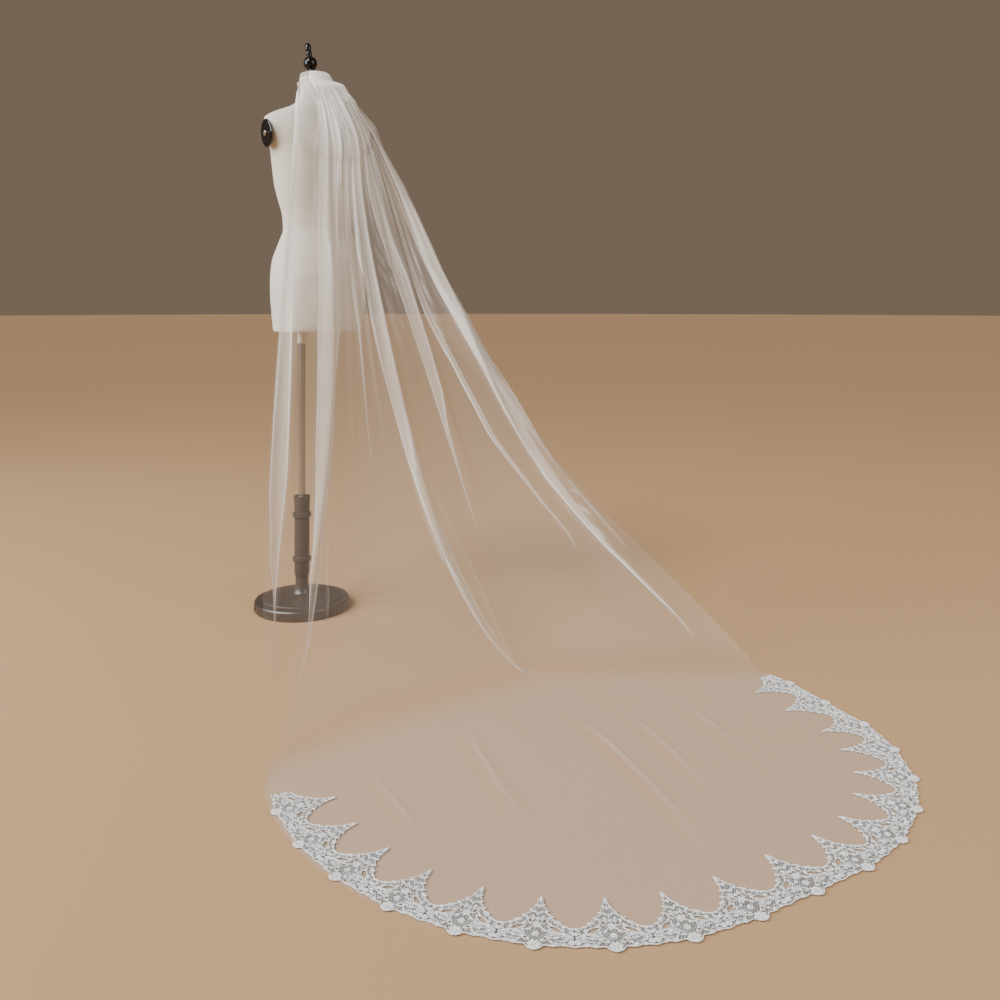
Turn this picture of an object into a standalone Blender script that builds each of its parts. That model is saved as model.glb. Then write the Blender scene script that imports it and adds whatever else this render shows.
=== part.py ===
"""Bridal veil on a limbless dress form: a gathered tulle panel with a lace border, and its stand.

Metres, +Z up. The origin is the centre of the stand's underside on the floor.
The form faces +Y, and the train lies behind it, towards -Y.
"""

import math

import bmesh
import bpy
import numpy as np
from mathutils import Matrix, Vector
from mathutils.geometry import delaunay_2d_cdt

SEAM_GAP = 0.0003

# Stand
BASE_RADIUS = 0.139
BASE_EDGE_HEIGHT = 0.030
BASE_STEP_RADIUS = 0.118
BASE_TOP = 0.046
COLUMN_TOP = 0.335
COLUMN_RADIUS = 0.0225
COLUMN_RINGS = (0.146, 0.278)
POLE_RADIUS = 0.0097
POLE_TOP = 0.790
COLLAR_RADIUS = 0.0135

# Form
TORSO_BOTTOM = 0.830
TORSO_CENTRE_Y = -0.105
NECK_TOP_Z = 1.566
NECK_TOP_Y = -0.088
NECK_RADIUS = 0.042
NECK_LEAN_START = 1.480
NECK_SLOPE = 0.14
TORSO_SEGMENTS = 32
ARMHOLE_X = 0.159
ARMHOLE_LEAN = math.radians(5)
PLATE_THICKNESS = 0.005
FINIAL_LEAN = math.radians(17)
FINIAL_FORWARD = 0.012

# Each row is a section of the torso: height, half width, depth to the front and to the back.
TORSO_SECTIONS = (
    (0.830, 0.131, 0.112, 0.100),
    (0.835, 0.134, 0.115, 0.103),
    (0.880, 0.139, 0.119, 0.110),
    (0.930, 0.143, 0.120, 0.114),
    (0.975, 0.143, 0.116, 0.114),
    (1.030, 0.136, 0.107, 0.104),
    (1.085, 0.116, 0.094, 0.086),
    (1.124, 0.103, 0.085, 0.076),
    (1.165, 0.106, 0.088, 0.078),
    (1.211, 0.118, 0.102, 0.086),
    (1.258, 0.128, 0.116, 0.093),
    (1.305, 0.135, 0.113, 0.097),
    (1.350, 0.144, 0.095, 0.097),
    (1.390, 0.159, 0.081, 0.090),
    (1.416, 0.168, 0.070, 0.078),
    (1.434, 0.164, 0.060, 0.066),
    (1.450, 0.142, 0.052, 0.057),
    (1.465, 0.108, 0.047, 0.052),
    (1.480, 0.077, 0.046, 0.050),
    (1.500, 0.059, 0.046, 0.048),
    (1.530, 0.047, 0.044, 0.045),
    (1.566, 0.042, 0.042, 0.042),
)

# Veil
CLOTH = 0.0012
NECK_GAP = 0.0006
HEADER_HEIGHT = 0.015
HEADER_FLARE = 0.0030
HEADER_RUFFLE = 0.0015
NECK_PUFF = 0.004
NORMAL_STEP = 0.0005
BAND_HEIGHT = 0.007
BAND_THICKNESS = 0.0010
BAND_TOP_Z = 1.563
GATHERS = 17
GATHER_DEPTH = 0.0030
COLUMNS = 66
COLUMNS_ROUND_NECK = 0.7
CROWN_ROWS = 7
FALL_ROWS = 14
TRAIN_ROWS = 5
CREASE_HEIGHT = 0.0022

# The hem on the floor is nearly round. Each row is its angle about the centre and its radius.
HEM_CENTRE = (0.070, -1.150)
HEM_RADII = (
    (-201, 0.644),
    (-185, 0.642),
    (-150, 0.648),
    (-125, 0.636),
    (-97, 0.606),
    (-75, 0.636),
    (-55, 0.654),
    (-37, 0.644),
    (-18, 0.612),
    (-1, 0.612),
)

# Each row is one line of the panel from the neck to the floor: its share of the panel's width,
# its angle round the neck, where it passes the shoulder ridge, where it leaves the back or the
# shoulder, where it meets the floor, its sideways bow, and the two powers of its sag.
LINES = (
    (0.00, -120, (-0.084, -0.132, 1.494), (-0.119, -0.186, 1.360), (-0.535, -0.925), -0.028, 0.82, 1.16),
    (0.12, -45, (-0.026, -0.168, 1.485), (-0.034, -0.222, 1.360), (-0.440, -0.806), 0.029, 0.78, 1.21),
    (0.34, -18, (0.005, -0.172, 1.484), (0.014, -0.226, 1.362), (-0.130, -0.782), -0.008, 0.79, 1.30),
    (0.56, 8, (0.036, -0.172, 1.488), (0.060, -0.224, 1.365), (0.205, -0.790), -0.042, 0.82, 1.44),
    (0.68, 26, (0.064, -0.161, 1.493), (0.103, -0.211, 1.380), (0.355, -0.860), 0.008, 1.04, 1.90),
    (0.80, 44, (0.083, -0.144, 1.498), (0.145, -0.177, 1.403), (0.490, -0.975), 0.055, 0.97, 1.31),
    (0.92, 62, (0.097, -0.123, 1.505), (0.179, -0.129, 1.433), (0.610, -1.068), 0.014, 0.70, 1.04),
    (1.00, 85, (0.103, -0.096, 1.507), (0.184, -0.089, 1.437), (0.676, -1.140), 0.071, 0.45, 0.87),
)

# Each row is one fold: the crest's share of the width, its half width, its depth at the
# shoulder and at hip height, how far it runs from the neck, and how much it narrows.
FOLDS = (
    (0.035, 0.030, 0.010, 0.026, 1.62, 0.75),
    (0.120, 0.036, 0.010, 0.030, 1.58, 0.80),
    (0.205, 0.030, 0.008, 0.009, 1.05, 0.30),
    (0.290, 0.032, 0.010, 0.012, 1.30, 0.20),
    (0.385, 0.034, 0.009, 0.010, 1.10, 0.20),
    (0.470, 0.030, 0.010, 0.012, 1.20, 0.30),
    (0.560, 0.032, 0.012, 0.026, 1.66, 0.45),
    (0.625, 0.024, 0.008, 0.012, 1.25, 0.30),
    (0.690, 0.028, 0.010, 0.022, 1.50, 0.40),
    (0.750, 0.022, 0.008, 0.012, 1.15, 0.20),
    (0.810, 0.026, 0.010, 0.022, 1.55, 0.40),
    (0.870, 0.022, 0.008, 0.012, 1.30, 0.20),
    (0.930, 0.024, 0.008, 0.020, 1.70, 0.40),
    (0.978, 0.016, 0.006, 0.010, 1.20, 0.20),
)

# Lace border, in metres along the hem from the peak and inwards from the edge
LACE_THICKNESS = 0.0012
LACE_REPEATS = 18
LACE_PITCH = 0.1187
LACE_LEAD = 0.038
LACE_INSET = 0.008
FLOWER_RADIUS = 0.0125
FLOWER_RISE = 0.0016
FLOWER_SIDES = 8

# Half of one repeat's inner edge, from the narrow band to the tip of the peak: along, inwards
PEAK_EDGE = (
    (0.053, 0.040),
    (0.042, 0.046),
    (0.033, 0.056),
    (0.024, 0.058),
    (0.022, 0.068),
    (0.013, 0.072),
    (0.012, 0.083),
    (0.0055, 0.088),
    (0.0045, 0.102),
    (0.000, 0.113),
)

# Gaps cut through each repeat: centre along and inwards, length, width and turn in degrees.
# Each is cut again on the peak's other side.
LACE_GAPS = (
    (0.031, 0.036, 0.024, 0.0085, -28, 6),
    (0.0125, 0.053, 0.014, 0.0065, 62, 4),
)


def smooth_value(xs, ys, x):
    """Value at x of a smooth curve through the rows, with no overshoot past a turning row."""
    xs = np.asarray(xs, float)
    ys = np.asarray(ys, float)
    steps = np.diff(xs)
    slopes = np.diff(ys) / steps
    tangents = np.empty(len(xs))
    tangents[0] = slopes[0]
    tangents[-1] = slopes[-1]
    for i in range(1, len(xs) - 1):
        before, after = slopes[i - 1], slopes[i]
        if before * after <= 0:
            tangents[i] = 0.0
        else:
            tangents[i] = 2 * before * after / (before + after)
    x = min(max(x, xs[0]), xs[-1])
    i = min(int(np.searchsorted(xs, x, side="right")) - 1, len(xs) - 2)
    f = (x - xs[i]) / steps[i]
    h00 = 2 * f**3 - 3 * f**2 + 1
    h10 = f**3 - 2 * f**2 + f
    h01 = -2 * f**3 + 3 * f**2
    h11 = f**3 - f**2
    return h00 * ys[i] + h10 * steps[i] * tangents[i] + h01 * ys[i + 1] + h11 * steps[i] * tangents[i + 1]


def line_values(u):
    """Every column of LINES at a share u of the width, in the order of a row."""
    shares = [row[0] for row in LINES]
    values = []
    for column in range(1, len(LINES[0])):
        entries = [row[column] for row in LINES]
        if isinstance(entries[0], tuple):
            parts = zip(*entries)
            values.append(np.array([smooth_value(shares, part, u) for part in parts]))
        else:
            values.append(smooth_value(shares, entries, u))
    return values


def neck_angle(u):
    return smooth_value([row[0] for row in LINES], [row[1] for row in LINES], u)


def contact_point(u):
    return line_values(u)[3]


def band_point(u, z):
    """Point against the neck at height z, for a share u of the width."""
    angle = math.radians(neck_angle(u))
    radius = NECK_RADIUS + NECK_GAP + CLOTH / 2 + (NECK_TOP_Z - z) * NECK_SLOPE
    centre = TORSO_CENTRE_Y + neck_shift(z)
    return np.array([radius * math.sin(angle), centre - radius * math.cos(angle), z])


def fall_points(u, ts):
    """Points of the hanging stretch: t runs from the shoulder, 0, to the floor, 1."""
    _, _, start, end, bow, inner_power, outer_power = line_values(u)
    run = end - start[:2]
    side = np.array([-run[1], run[0]]) / np.linalg.norm(run)
    ts = np.asarray(ts)
    plan = start[:2] + ts[:, None] * run + (bow * 4 * ts * (1 - ts))[:, None] * side
    lift = (start[2] - CLOTH / 2) * (1 - ts**inner_power) ** outer_power
    return np.column_stack([plan, CLOTH / 2 + lift])


def spline(points, samples):
    """Points of a smooth curve through the given ones, spaced by their distances."""
    points = np.array(points)
    reach = np.concatenate([[0], np.cumsum(np.linalg.norm(np.diff(points, axis=0), axis=1))])
    curve = []
    for d in np.linspace(0, reach[-1], samples):
        curve.append([smooth_value(reach, points[:, axis], d) for axis in range(3)])
    return np.array(curve)


def resample(path, distances):
    """Points of a polyline at the given distances from its start."""
    reach = np.concatenate([[0], np.cumsum(np.linalg.norm(np.diff(path, axis=0), axis=1))])
    return np.column_stack([np.interp(distances, reach, path[:, axis]) for axis in range(3)])


def path_length(path):
    return float(np.linalg.norm(np.diff(path, axis=0), axis=1).sum())


def panel_path(u):
    """One line of the panel from the header's top edge to the floor.

    Also gives the distances along it to the band's lower edge and to the end of the crown.
    """
    _, ridge, leave = line_values(u)[:3]
    header = band_point(u, BAND_TOP_Z + HEADER_HEIGHT)
    flare = header[:2] - np.array([0, NECK_TOP_Y])
    header[:2] += HEADER_FLARE * flare / np.linalg.norm(flare)
    header = np.array([header, band_point(u, BAND_TOP_Z)])
    start = band_point(u, BAND_TOP_Z - BAND_HEIGHT)
    falling = fall_points(u, np.linspace(0, 1, 240) ** 1.7)
    over = spline([start, ridge, leave, fall_points(u, [0.035])[0]], 61)[:46]
    hanging = falling[falling[:, 2] < over[-1, 2] - 0.012]
    band = path_length(np.vstack([header, over[:1]]))
    return np.vstack([header, over, hanging]), band, band + path_length(over)


def bump(s):
    """Soft ridge: 1 at s = 0, 0 from s = 1 or -1 outwards."""
    return math.cos(math.pi * s / 2) ** 2 if abs(s) < 1 else 0.0


def ease(s):
    s = min(max(s, 0.0), 1.0)
    return s * s * (3 - 2 * s)


def fold_depth(u, distance):
    """How far the panel stands out at a share u and a distance from the band."""
    total = 0.0
    for crest, half_width, at_shoulder, at_hip, end, narrowing in FOLDS:
        down = min(distance / end, 1.0)
        width = half_width * (1 - narrowing * down**2)
        grow = ease(distance / 0.10)
        middle = ease((distance - 0.15) / 0.45)
        fade = 1 - ease((distance - 0.55 * end) / (0.45 * end))
        depth = (at_shoulder * (1 - middle) + at_hip * middle) * grow * fade
        total += depth * bump((u - crest) / width)
    return total


def gather_wave(u):
    """0 in a valley and 1 on a crest of the fine gathers, evenly spaced round the neck."""
    first = LINES[0][1]
    share = (neck_angle(u) - first) / (LINES[-1][1] - first)
    return 0.5 - 0.5 * math.cos(2 * math.pi * GATHERS * share)


def stand_out(u, distance):
    """How far the panel stands out with its gathers and folds, below and above the band."""
    if distance < 0:
        header = min(-distance / HEADER_HEIGHT, 1.0)
        return HEADER_RUFFLE * (2 * gather_wave(u) - 1) * ease((header - 0.5) / 0.5)
    strength = ease(distance / 0.03) * (1 - ease((distance - 0.05) / 0.16))
    puff = NECK_PUFF * bump((distance - 0.028) / 0.028)
    return GATHER_DEPTH * gather_wave(u) * strength + puff + fold_depth(u, distance)


def column_shares():
    """Shares of the width, spaced partly by width and partly by angle round the neck."""
    fine = np.linspace(0, 1, 801)
    angles = np.array([neck_angle(u) for u in fine])
    angles = (angles - angles[0]) / (angles[-1] - angles[0])
    mixed = COLUMNS_ROUND_NECK * angles + (1 - COLUMNS_ROUND_NECK) * fine
    return np.interp(np.linspace(0, 1, COLUMNS + 1), mixed, fine)


def grid_normals(grid):
    """Outward unit normals of points in columns, rows and close sets of steps along each line."""
    across = np.gradient(grid, axis=0)[:, :, 1:-1]
    down = grid[:, :, 2:] - grid[:, :, :-2]
    normals = np.cross(down, across)
    return normals / np.linalg.norm(normals, axis=3)[:, :, :, None]


def material(name, colour, roughness, metallic=0.0, alpha=1.0):
    mat = bpy.data.materials.new(name)
    mat.use_nodes = True
    shader = mat.node_tree.nodes["Principled BSDF"]
    shader.inputs["Base Color"].default_value = (*colour, 1.0)
    shader.inputs["Roughness"].default_value = roughness
    shader.inputs["Metallic"].default_value = metallic
    shader.inputs["Alpha"].default_value = alpha
    return mat


def add_object(name, verts, faces, mat, smooth=True):
    mesh = bpy.data.meshes.new(name)
    mesh.from_pydata([tuple(v) for v in verts], [], faces)
    mesh.validate()
    bm = bmesh.new()
    bm.from_mesh(mesh)
    bmesh.ops.recalc_face_normals(bm, faces=bm.faces)
    bm.to_mesh(mesh)
    bm.free()
    obj = bpy.data.objects.new(name, mesh)
    bpy.context.scene.collection.objects.link(obj)
    mesh.materials.append(mat)
    if smooth:
        mesh.shade_smooth()
        mesh.set_sharp_from_angle(angle=math.radians(40))
    return obj


def wall(name, outer, inner, mat):
    """Closed sheet between two grids of points, outer and inner, joined round the rim."""
    across, down = outer.shape[:2]
    count = across * down
    verts = list(outer.reshape(-1, 3)) + list(inner.reshape(-1, 3))
    faces = []
    for i in range(across - 1):
        for j in range(down - 1):
            a = i * down + j
            b = a + down
            if (i + j) % 2:
                faces += [(a, b, b + 1), (a, b + 1, a + 1)]
                faces += [(count + a, count + b + 1, count + b), (count + a, count + a + 1, count + b + 1)]
            else:
                faces += [(a, b, a + 1), (b, b + 1, a + 1)]
                faces += [(count + a, count + a + 1, count + b), (count + b, count + a + 1, count + b + 1)]
    rim = [i * down for i in range(across)]
    rim += [(across - 1) * down + j for j in range(1, down)]
    rim += [i * down + down - 1 for i in range(across - 2, -1, -1)]
    rim += [j for j in range(down - 2, 0, -1)]
    for k, a in enumerate(rim):
        b = rim[(k + 1) % len(rim)]
        faces.append((a, b, count + b, count + a))
    return add_object(name, verts, faces, mat)


def rings_solid(name, rings, mat, smooth=True):
    """Closed solid lofted through rings of equal count, with a flat cap at each end."""
    count = len(rings[0])
    verts = [point for ring in rings for point in ring]
    faces = []
    for k in range(len(rings) - 1):
        for i in range(count):
            a = k * count + i
            b = k * count + (i + 1) % count
            faces.append((a, b, b + count, a + count))
    faces.append(tuple(range(count))[::-1])
    last = (len(rings) - 1) * count
    faces.append(tuple(last + i for i in range(count)))
    return add_object(name, verts, faces, mat, smooth)


def turned(name, profile, segments, mat):
    """Round solid from a list of (radius, height)."""
    rings = []
    for radius, height in profile:
        ring = []
        for i in range(segments):
            angle = 2 * math.pi * i / segments
            ring.append((radius * math.cos(angle), radius * math.sin(angle), height))
        rings.append(ring)
    return rings_solid(name, rings, mat)


def place(obj, matrix):
    obj.data.transform(matrix)
    obj.data.update()


def neck_shift(z):
    """How far forward the leaning neck has moved at height z."""
    lean = (z - NECK_LEAN_START) / (NECK_TOP_Z - NECK_LEAN_START)
    return (NECK_TOP_Y - TORSO_CENTRE_Y) * max(lean, 0.0)


def torso_ring(z, half_width, front, back):
    ring = []
    for i in range(TORSO_SEGMENTS):
        angle = 2 * math.pi * i / TORSO_SEGMENTS
        depth = front if math.sin(angle) > 0 else back
        x = half_width * math.cos(angle)
        y = TORSO_CENTRE_Y + neck_shift(z) + depth * math.sin(angle)
        ring.append((x, y, z))
    return ring


def armhole_frame(side):
    """Place and turn of an armhole's flat face: its local +Z points out of the form."""
    turn = Matrix.Rotation(side * (math.pi / 2 + ARMHOLE_LEAN), 4, "Y")
    return Matrix.Translation((side * ARMHOLE_X, TORSO_CENTRE_Y - 0.004, 1.388)) @ turn


def build_torso(mat):
    torso = rings_solid("form_torso", [torso_ring(*row) for row in TORSO_SECTIONS], mat)
    bm = bmesh.new()
    bm.from_mesh(torso.data)
    for side in (-1, 1):
        frame = armhole_frame(side)
        point = frame.translation
        normal = frame.to_3x3() @ Vector((0, 0, 1))
        geometry = bm.verts[:] + bm.edges[:] + bm.faces[:]
        cut = bmesh.ops.bisect_plane(
            bm, geom=geometry, dist=1e-5, plane_co=point, plane_no=normal, clear_outer=True
        )
        rim = [item for item in cut["geom_cut"] if isinstance(item, bmesh.types.BMEdge)]
        bmesh.ops.edgeloop_fill(bm, edges=rim)
    bmesh.ops.remove_doubles(bm, verts=bm.verts, dist=2e-5)
    bmesh.ops.recalc_face_normals(bm, faces=bm.faces)
    bm.to_mesh(torso.data)
    bm.free()
    torso.data.set_sharp_from_angle(angle=math.radians(40))


def build_plates(black, steel):
    """Oval plate on each armhole, with a small steel boss in its middle."""
    for side, word in ((-1, "left"), (1, "right")):
        rings = []
        for scale, height in ((0.94, 0.0), (1.0, 0.0012), (1.0, 0.0038), (0.93, PLATE_THICKNESS)):
            ring = []
            for i in range(20):
                angle = 2 * math.pi * i / 20
                ring.append((0.040 * scale * math.cos(angle), 0.034 * scale * math.sin(angle), height))
            rings.append(ring)
        plate = rings_solid(f"armhole_plate_{word}", rings, black)
        place(plate, armhole_frame(side) @ Matrix.Translation((0, 0, SEAM_GAP)))
        boss = turned(f"armhole_boss_{word}", ((0.008, 0), (0.008, 0.003), (0.005, 0.006)), 12, steel)
        place(boss, armhole_frame(side) @ Matrix.Translation((0, 0, PLATE_THICKNESS + 2 * SEAM_GAP)))


def build_neck_top(black):
    cap = ((0.0395, 0), (0.0412, 0.002), (0.0405, 0.006), (0.034, 0.009), (0.013, 0.011))
    place(turned("neck_cap", cap, 24, black), Matrix.Translation((0, NECK_TOP_Y, NECK_TOP_Z + SEAM_GAP)))
    finial = (
        (0.012, 0.0),
        (0.0125, 0.003),
        (0.0085, 0.007),
        (0.0085, 0.012),
        (0.0145, 0.018),
        (0.0190, 0.026),
        (0.0195, 0.032),
        (0.0185, 0.039),
        (0.0125, 0.047),
        (0.0068, 0.052),
        (0.0092, 0.059),
        (0.0092, 0.063),
        (0.0068, 0.069),
        (0.0092, 0.077),
        (0.0085, 0.086),
        (0.004, 0.0925),
    )
    lean = Matrix.Rotation(-FINIAL_LEAN, 4, "X")
    # The lowest edge of the finial's foot stands where the cap is 10 mm high
    seat = NECK_TOP_Z + 2 * SEAM_GAP + 0.010 + finial[0][0] * math.sin(FINIAL_LEAN)
    place(turned("neck_finial", finial, 16, black), Matrix.Translation((0, NECK_TOP_Y + FINIAL_FORWARD, seat)) @ lean)


def build_stand(base_paint, steel, collar_plastic):
    base = (
        (BASE_RADIUS - 0.003, 0.0),
        (BASE_RADIUS, 0.003),
        (BASE_RADIUS, BASE_EDGE_HEIGHT - 0.006),
        (BASE_RADIUS - 0.006, BASE_EDGE_HEIGHT),
        (BASE_STEP_RADIUS, BASE_EDGE_HEIGHT + 0.003),
        (BASE_STEP_RADIUS - 0.004, BASE_EDGE_HEIGHT + 0.006),
        (0.070, BASE_TOP - 0.004),
        (0.032, BASE_TOP),
    )
    turned("stand_base", base, 36, base_paint)
    bottom = BASE_TOP + SEAM_GAP
    profile = [(0.028, bottom), (0.021, bottom + 0.012), (0.019, bottom + 0.045), (COLUMN_RADIUS, bottom + 0.058)]
    for height in COLUMN_RINGS:
        profile += [
            (COLUMN_RADIUS, height - 0.008),
            (COLUMN_RADIUS + 0.005, height - 0.005),
            (COLUMN_RADIUS + 0.005, height + 0.005),
            (COLUMN_RADIUS, height + 0.008),
        ]
    profile += [(COLUMN_RADIUS + 0.0015, COLUMN_TOP - 0.002), (COLUMN_RADIUS - 0.001, COLUMN_TOP)]
    turned("stand_column", profile, 20, base_paint)
    pole = ((POLE_RADIUS, COLUMN_TOP + SEAM_GAP), (POLE_RADIUS, POLE_TOP))
    turned("stand_pole", pole, 16, steel)
    low = POLE_TOP + SEAM_GAP
    high = TORSO_BOTTOM - SEAM_GAP
    collar = ((COLLAR_RADIUS - 0.001, low), (COLLAR_RADIUS, low + 0.001), (COLLAR_RADIUS, high))
    turned("form_collar", collar, 16, collar_plastic)


def sheet_faces(row_distances, flat_end=False):
    """Outer and inner points of a stretch of the panel, one column of rows for each share.

    Each row is worked out at five close steps, so that two stretches agree where they meet.
    """
    steps = np.array([-2, -1, 0, 1, 2]) * NORMAL_STEP
    middle = []
    offsets = []
    for u in column_shares():
        path, band, crown_end = panel_path(u)
        distances = row_distances(band, crown_end, path_length(path))
        spots = (np.array(distances)[:, None] + steps).reshape(-1)
        middle.append(resample(path, spots).reshape(-1, 5, 3))
        offsets.append(np.array([stand_out(u, spot - band) for spot in spots]).reshape(-1, 5))
    middle = np.array(middle)
    offsets = np.array(offsets)[:, :, 1:-1, None]
    middle = middle[:, :, 1:-1] + grid_normals(middle) * offsets
    normals = grid_normals(middle)[:, :, 0]
    if flat_end:
        normals[:, -1] = (0, 0, 1)
    middle = middle[:, :, 1]
    return middle + normals * CLOTH / 2, middle - normals * CLOTH / 2


def crown_rows(band, crown_end, end):
    """Header top, band top, then rows from the band's lower edge to the shoulders."""
    spread = np.linspace(0, 1, CROWN_ROWS + 1) ** 1.25
    below = band + (crown_end - band) * spread
    return [2 * NORMAL_STEP, band - BAND_HEIGHT] + list(below)


def fall_rows(band, crown_end, end):
    """Rows from the shoulders to the floor."""
    return np.linspace(crown_end + 2 * SEAM_GAP, end - SEAM_GAP, FALL_ROWS + 1)


def hem_curve(count):
    """Points along the hem from its left end to its right end, at even distances."""
    turns, radii = zip(*HEM_RADII)
    points = []
    for turn in np.linspace(turns[0], turns[-1], 721):
        angle = math.radians(turn)
        radius = smooth_value(turns, radii, turn)
        x = HEM_CENTRE[0] + radius * math.cos(angle)
        y = HEM_CENTRE[1] + radius * math.sin(angle)
        points.append((x, y, 0.0))
    points = np.array(points)
    return resample(points, np.linspace(0, path_length(points), count))


def train_grids():
    """Top and underside points of the train, which lies flat on the floor."""
    hem = hem_curve(1001)
    top = []
    for u in column_shares():
        contact = contact_point(u)
        edge = np.array([np.interp(u, np.linspace(0, 1, len(hem)), hem[:, axis]) for axis in range(2)])
        run = (edge - contact) / np.linalg.norm(edge - contact)
        contact = contact + SEAM_GAP * run
        column = []
        for s in np.linspace(0, 1, TRAIN_ROWS + 1):
            plan = contact + s * (edge - contact)
            crease = 0.0
            for centre in (0.44, 0.58, 0.71):
                crease = max(crease, bump((u - centre) / 0.035) * bump((s - 0.25) / 0.30))
            column.append((plan[0], plan[1], CLOTH + CREASE_HEIGHT * crease))
        top.append(column)
    top = np.array(top)
    under = top.copy()
    under[:, :, 2] = 0.0
    return top, under


def build_tulle(tulle, satin):
    outer, inner = sheet_faces(crown_rows)
    wall("veil_crown", outer, inner, tulle)
    outwards = (outer[:, 1:3] - inner[:, 1:3]) / CLOTH
    low = outer[:, 1:3] + outwards * SEAM_GAP
    wall("veil_band", low + outwards * BAND_THICKNESS, low, satin)
    outer, inner = sheet_faces(fall_rows, flat_end=True)
    inner[:, :, 2] = np.maximum(inner[:, :, 2], 0.0)
    third = COLUMNS // 3
    for k, word in enumerate(("left", "middle", "right")):
        columns = slice(k * third, (k + 1) * third + 1)
        high = outer[columns].copy()
        low = inner[columns].copy()
        if k > 0:
            pull_in(high, low, 0, 1)
        wall(f"veil_fall_{word}", high, low, tulle)
    top, under = train_grids()
    wall("veil_train", top, under, tulle)


def pull_in(high, low, edge, neighbour):
    """Move one edge column towards its neighbour, so that two stretches stay a seam gap apart."""
    for grid in (high, low):
        step = grid[neighbour] - grid[edge]
        step /= np.linalg.norm(step, axis=1)[:, None]
        grid[edge] += step * SEAM_GAP * 1.5


def inside(point, polygon):
    hit = False
    count = len(polygon)
    for i in range(count):
        (x1, y1), (x2, y2) = polygon[i], polygon[(i + 1) % count]
        if (y1 > point[1]) != (y2 > point[1]):
            if point[0] < x1 + (point[1] - y1) * (x2 - x1) / (y2 - y1):
                hit = not hit
    return hit


def lace_centres():
    """Distance along the hem to the peak of each repeat."""
    return [LACE_LEAD + (k + 0.5) * LACE_PITCH for k in range(LACE_REPEATS)]


def lace_outline(length):
    """The border's outline, as (along, inwards) points: outer scallops, then the peaks back."""
    outer = [(0.0, 0.004)]
    inner = []
    for centre in lace_centres():
        outer.append((centre - LACE_PITCH / 2, 0.001))
        for along, out in ((-0.043, 0.006), (-0.028, 0.001), (-0.014, 0.004)):
            outer.append((centre + along, out))
        for along, out in ((-0.010, -0.003), (-0.004, -0.007), (0.004, -0.007), (0.010, -0.003)):
            outer.append((centre + along, out))
        for along, out in ((0.014, 0.004), (0.028, 0.001), (0.043, 0.006)):
            outer.append((centre + along, out))
        for along, inwards in PEAK_EDGE:
            inner.append((centre - along, inwards))
        for along, inwards in PEAK_EDGE[-2::-1]:
            inner.append((centre + along, inwards))
    outer += [(outer[-1][0] + 0.016, 0.001), (length, 0.004)]
    return outer + [(length, 0.034)] + inner[::-1] + [(0.0, 0.034)]


def lace_holes():
    holes = []
    for centre in lace_centres():
        for along, inwards, length, width, turn, sides in LACE_GAPS:
            for side in (-1, 1):
                lean = math.radians(turn) * side
                hole = []
                for i in range(sides):
                    angle = 2 * math.pi * i / sides
                    a = length / 2 * math.cos(angle)
                    b = width / 2 * math.sin(angle)
                    hole.append(
                        (
                            centre + side * along + a * math.cos(lean) - b * math.sin(lean),
                            inwards + a * math.sin(lean) + b * math.cos(lean),
                        )
                    )
                holes.append(hole)
    return holes


def build_lace(mat):
    """The lace border: a flat plate in the outline of the edging, cut through at its gaps."""
    hem = hem_curve(1201)
    length = path_length(hem)
    outline = lace_outline(length)
    holes = lace_holes()
    points = list(outline)
    edges = [(i, (i + 1) % len(outline)) for i in range(len(outline))]
    for hole in holes:
        first = len(points)
        points += hole
        edges += [(first + i, first + (i + 1) % len(hole)) for i in range(len(hole))]
    flowers = {}
    for centre in lace_centres():
        flowers[len(points)] = FLOWER_RISE
        points.append((centre, 0.006))
        for i in range(FLOWER_SIDES):
            angle = 2 * math.pi * (i + 0.5) / FLOWER_SIDES
            ring = FLOWER_RADIUS * 0.62
            flowers[len(points)] = FLOWER_RISE * 0.7
            points.append((centre + ring * math.cos(angle), 0.006 + ring * math.sin(angle)))
    verts, _, faces, origins, _, _ = delaunay_2d_cdt([Vector(p) for p in points], edges, [], 1, 1e-7)
    kept = []
    for face in faces:
        middle = sum((verts[i] for i in face), Vector((0, 0))) / len(face)
        if inside(middle, outline) and not any(inside(middle, hole) for hole in near(holes, middle)):
            kept.append(tuple(face))
    used = sorted({i for face in kept for i in face})
    renamed = {old: new for new, old in enumerate(used)}
    reach = np.linspace(0, length, len(hem))
    along_dir = np.gradient(hem, axis=0)
    along_dir /= np.linalg.norm(along_dir, axis=1)[:, None]
    floor_side = CLOTH + SEAM_GAP
    low = []
    high = []
    for i in used:
        s, w = verts[i]
        rise = max([flowers.get(source, 0.0) for source in origins[i]] + [0.0])
        x, y = lace_place(hem, reach, along_dir, s, w + LACE_INSET)
        low.append((x, y, floor_side))
        high.append((x, y, floor_side + LACE_THICKNESS + rise))
    count = len(used)
    faces = [tuple(renamed[i] for i in face) for face in kept]
    solid = [tuple(i + count for i in face) for face in faces]
    solid += [face[::-1] for face in faces]
    sides = {}
    for face in faces:
        for a, b in zip(face, face[1:] + face[:1]):
            sides[(a, b)] = True
    for a, b in sides:
        if (b, a) not in sides:
            solid.append((b, a, a + count, b + count))
    add_object("lace_border", low + high, solid, mat, smooth=False)


def near(holes, point):
    return [hole for hole in holes if abs(hole[0][0] - point[0]) < 0.05]


def lace_place(hem, reach, along_dir, s, inwards):
    """Floor position of a point of the border, given along the hem and inwards from it."""
    x = np.interp(s, reach, hem[:, 0])
    y = np.interp(s, reach, hem[:, 1])
    tx = np.interp(s, reach, along_dir[:, 0])
    ty = np.interp(s, reach, along_dir[:, 1])
    size = math.hypot(tx, ty)
    return x - ty / size * inwards, y + tx / size * inwards


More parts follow.
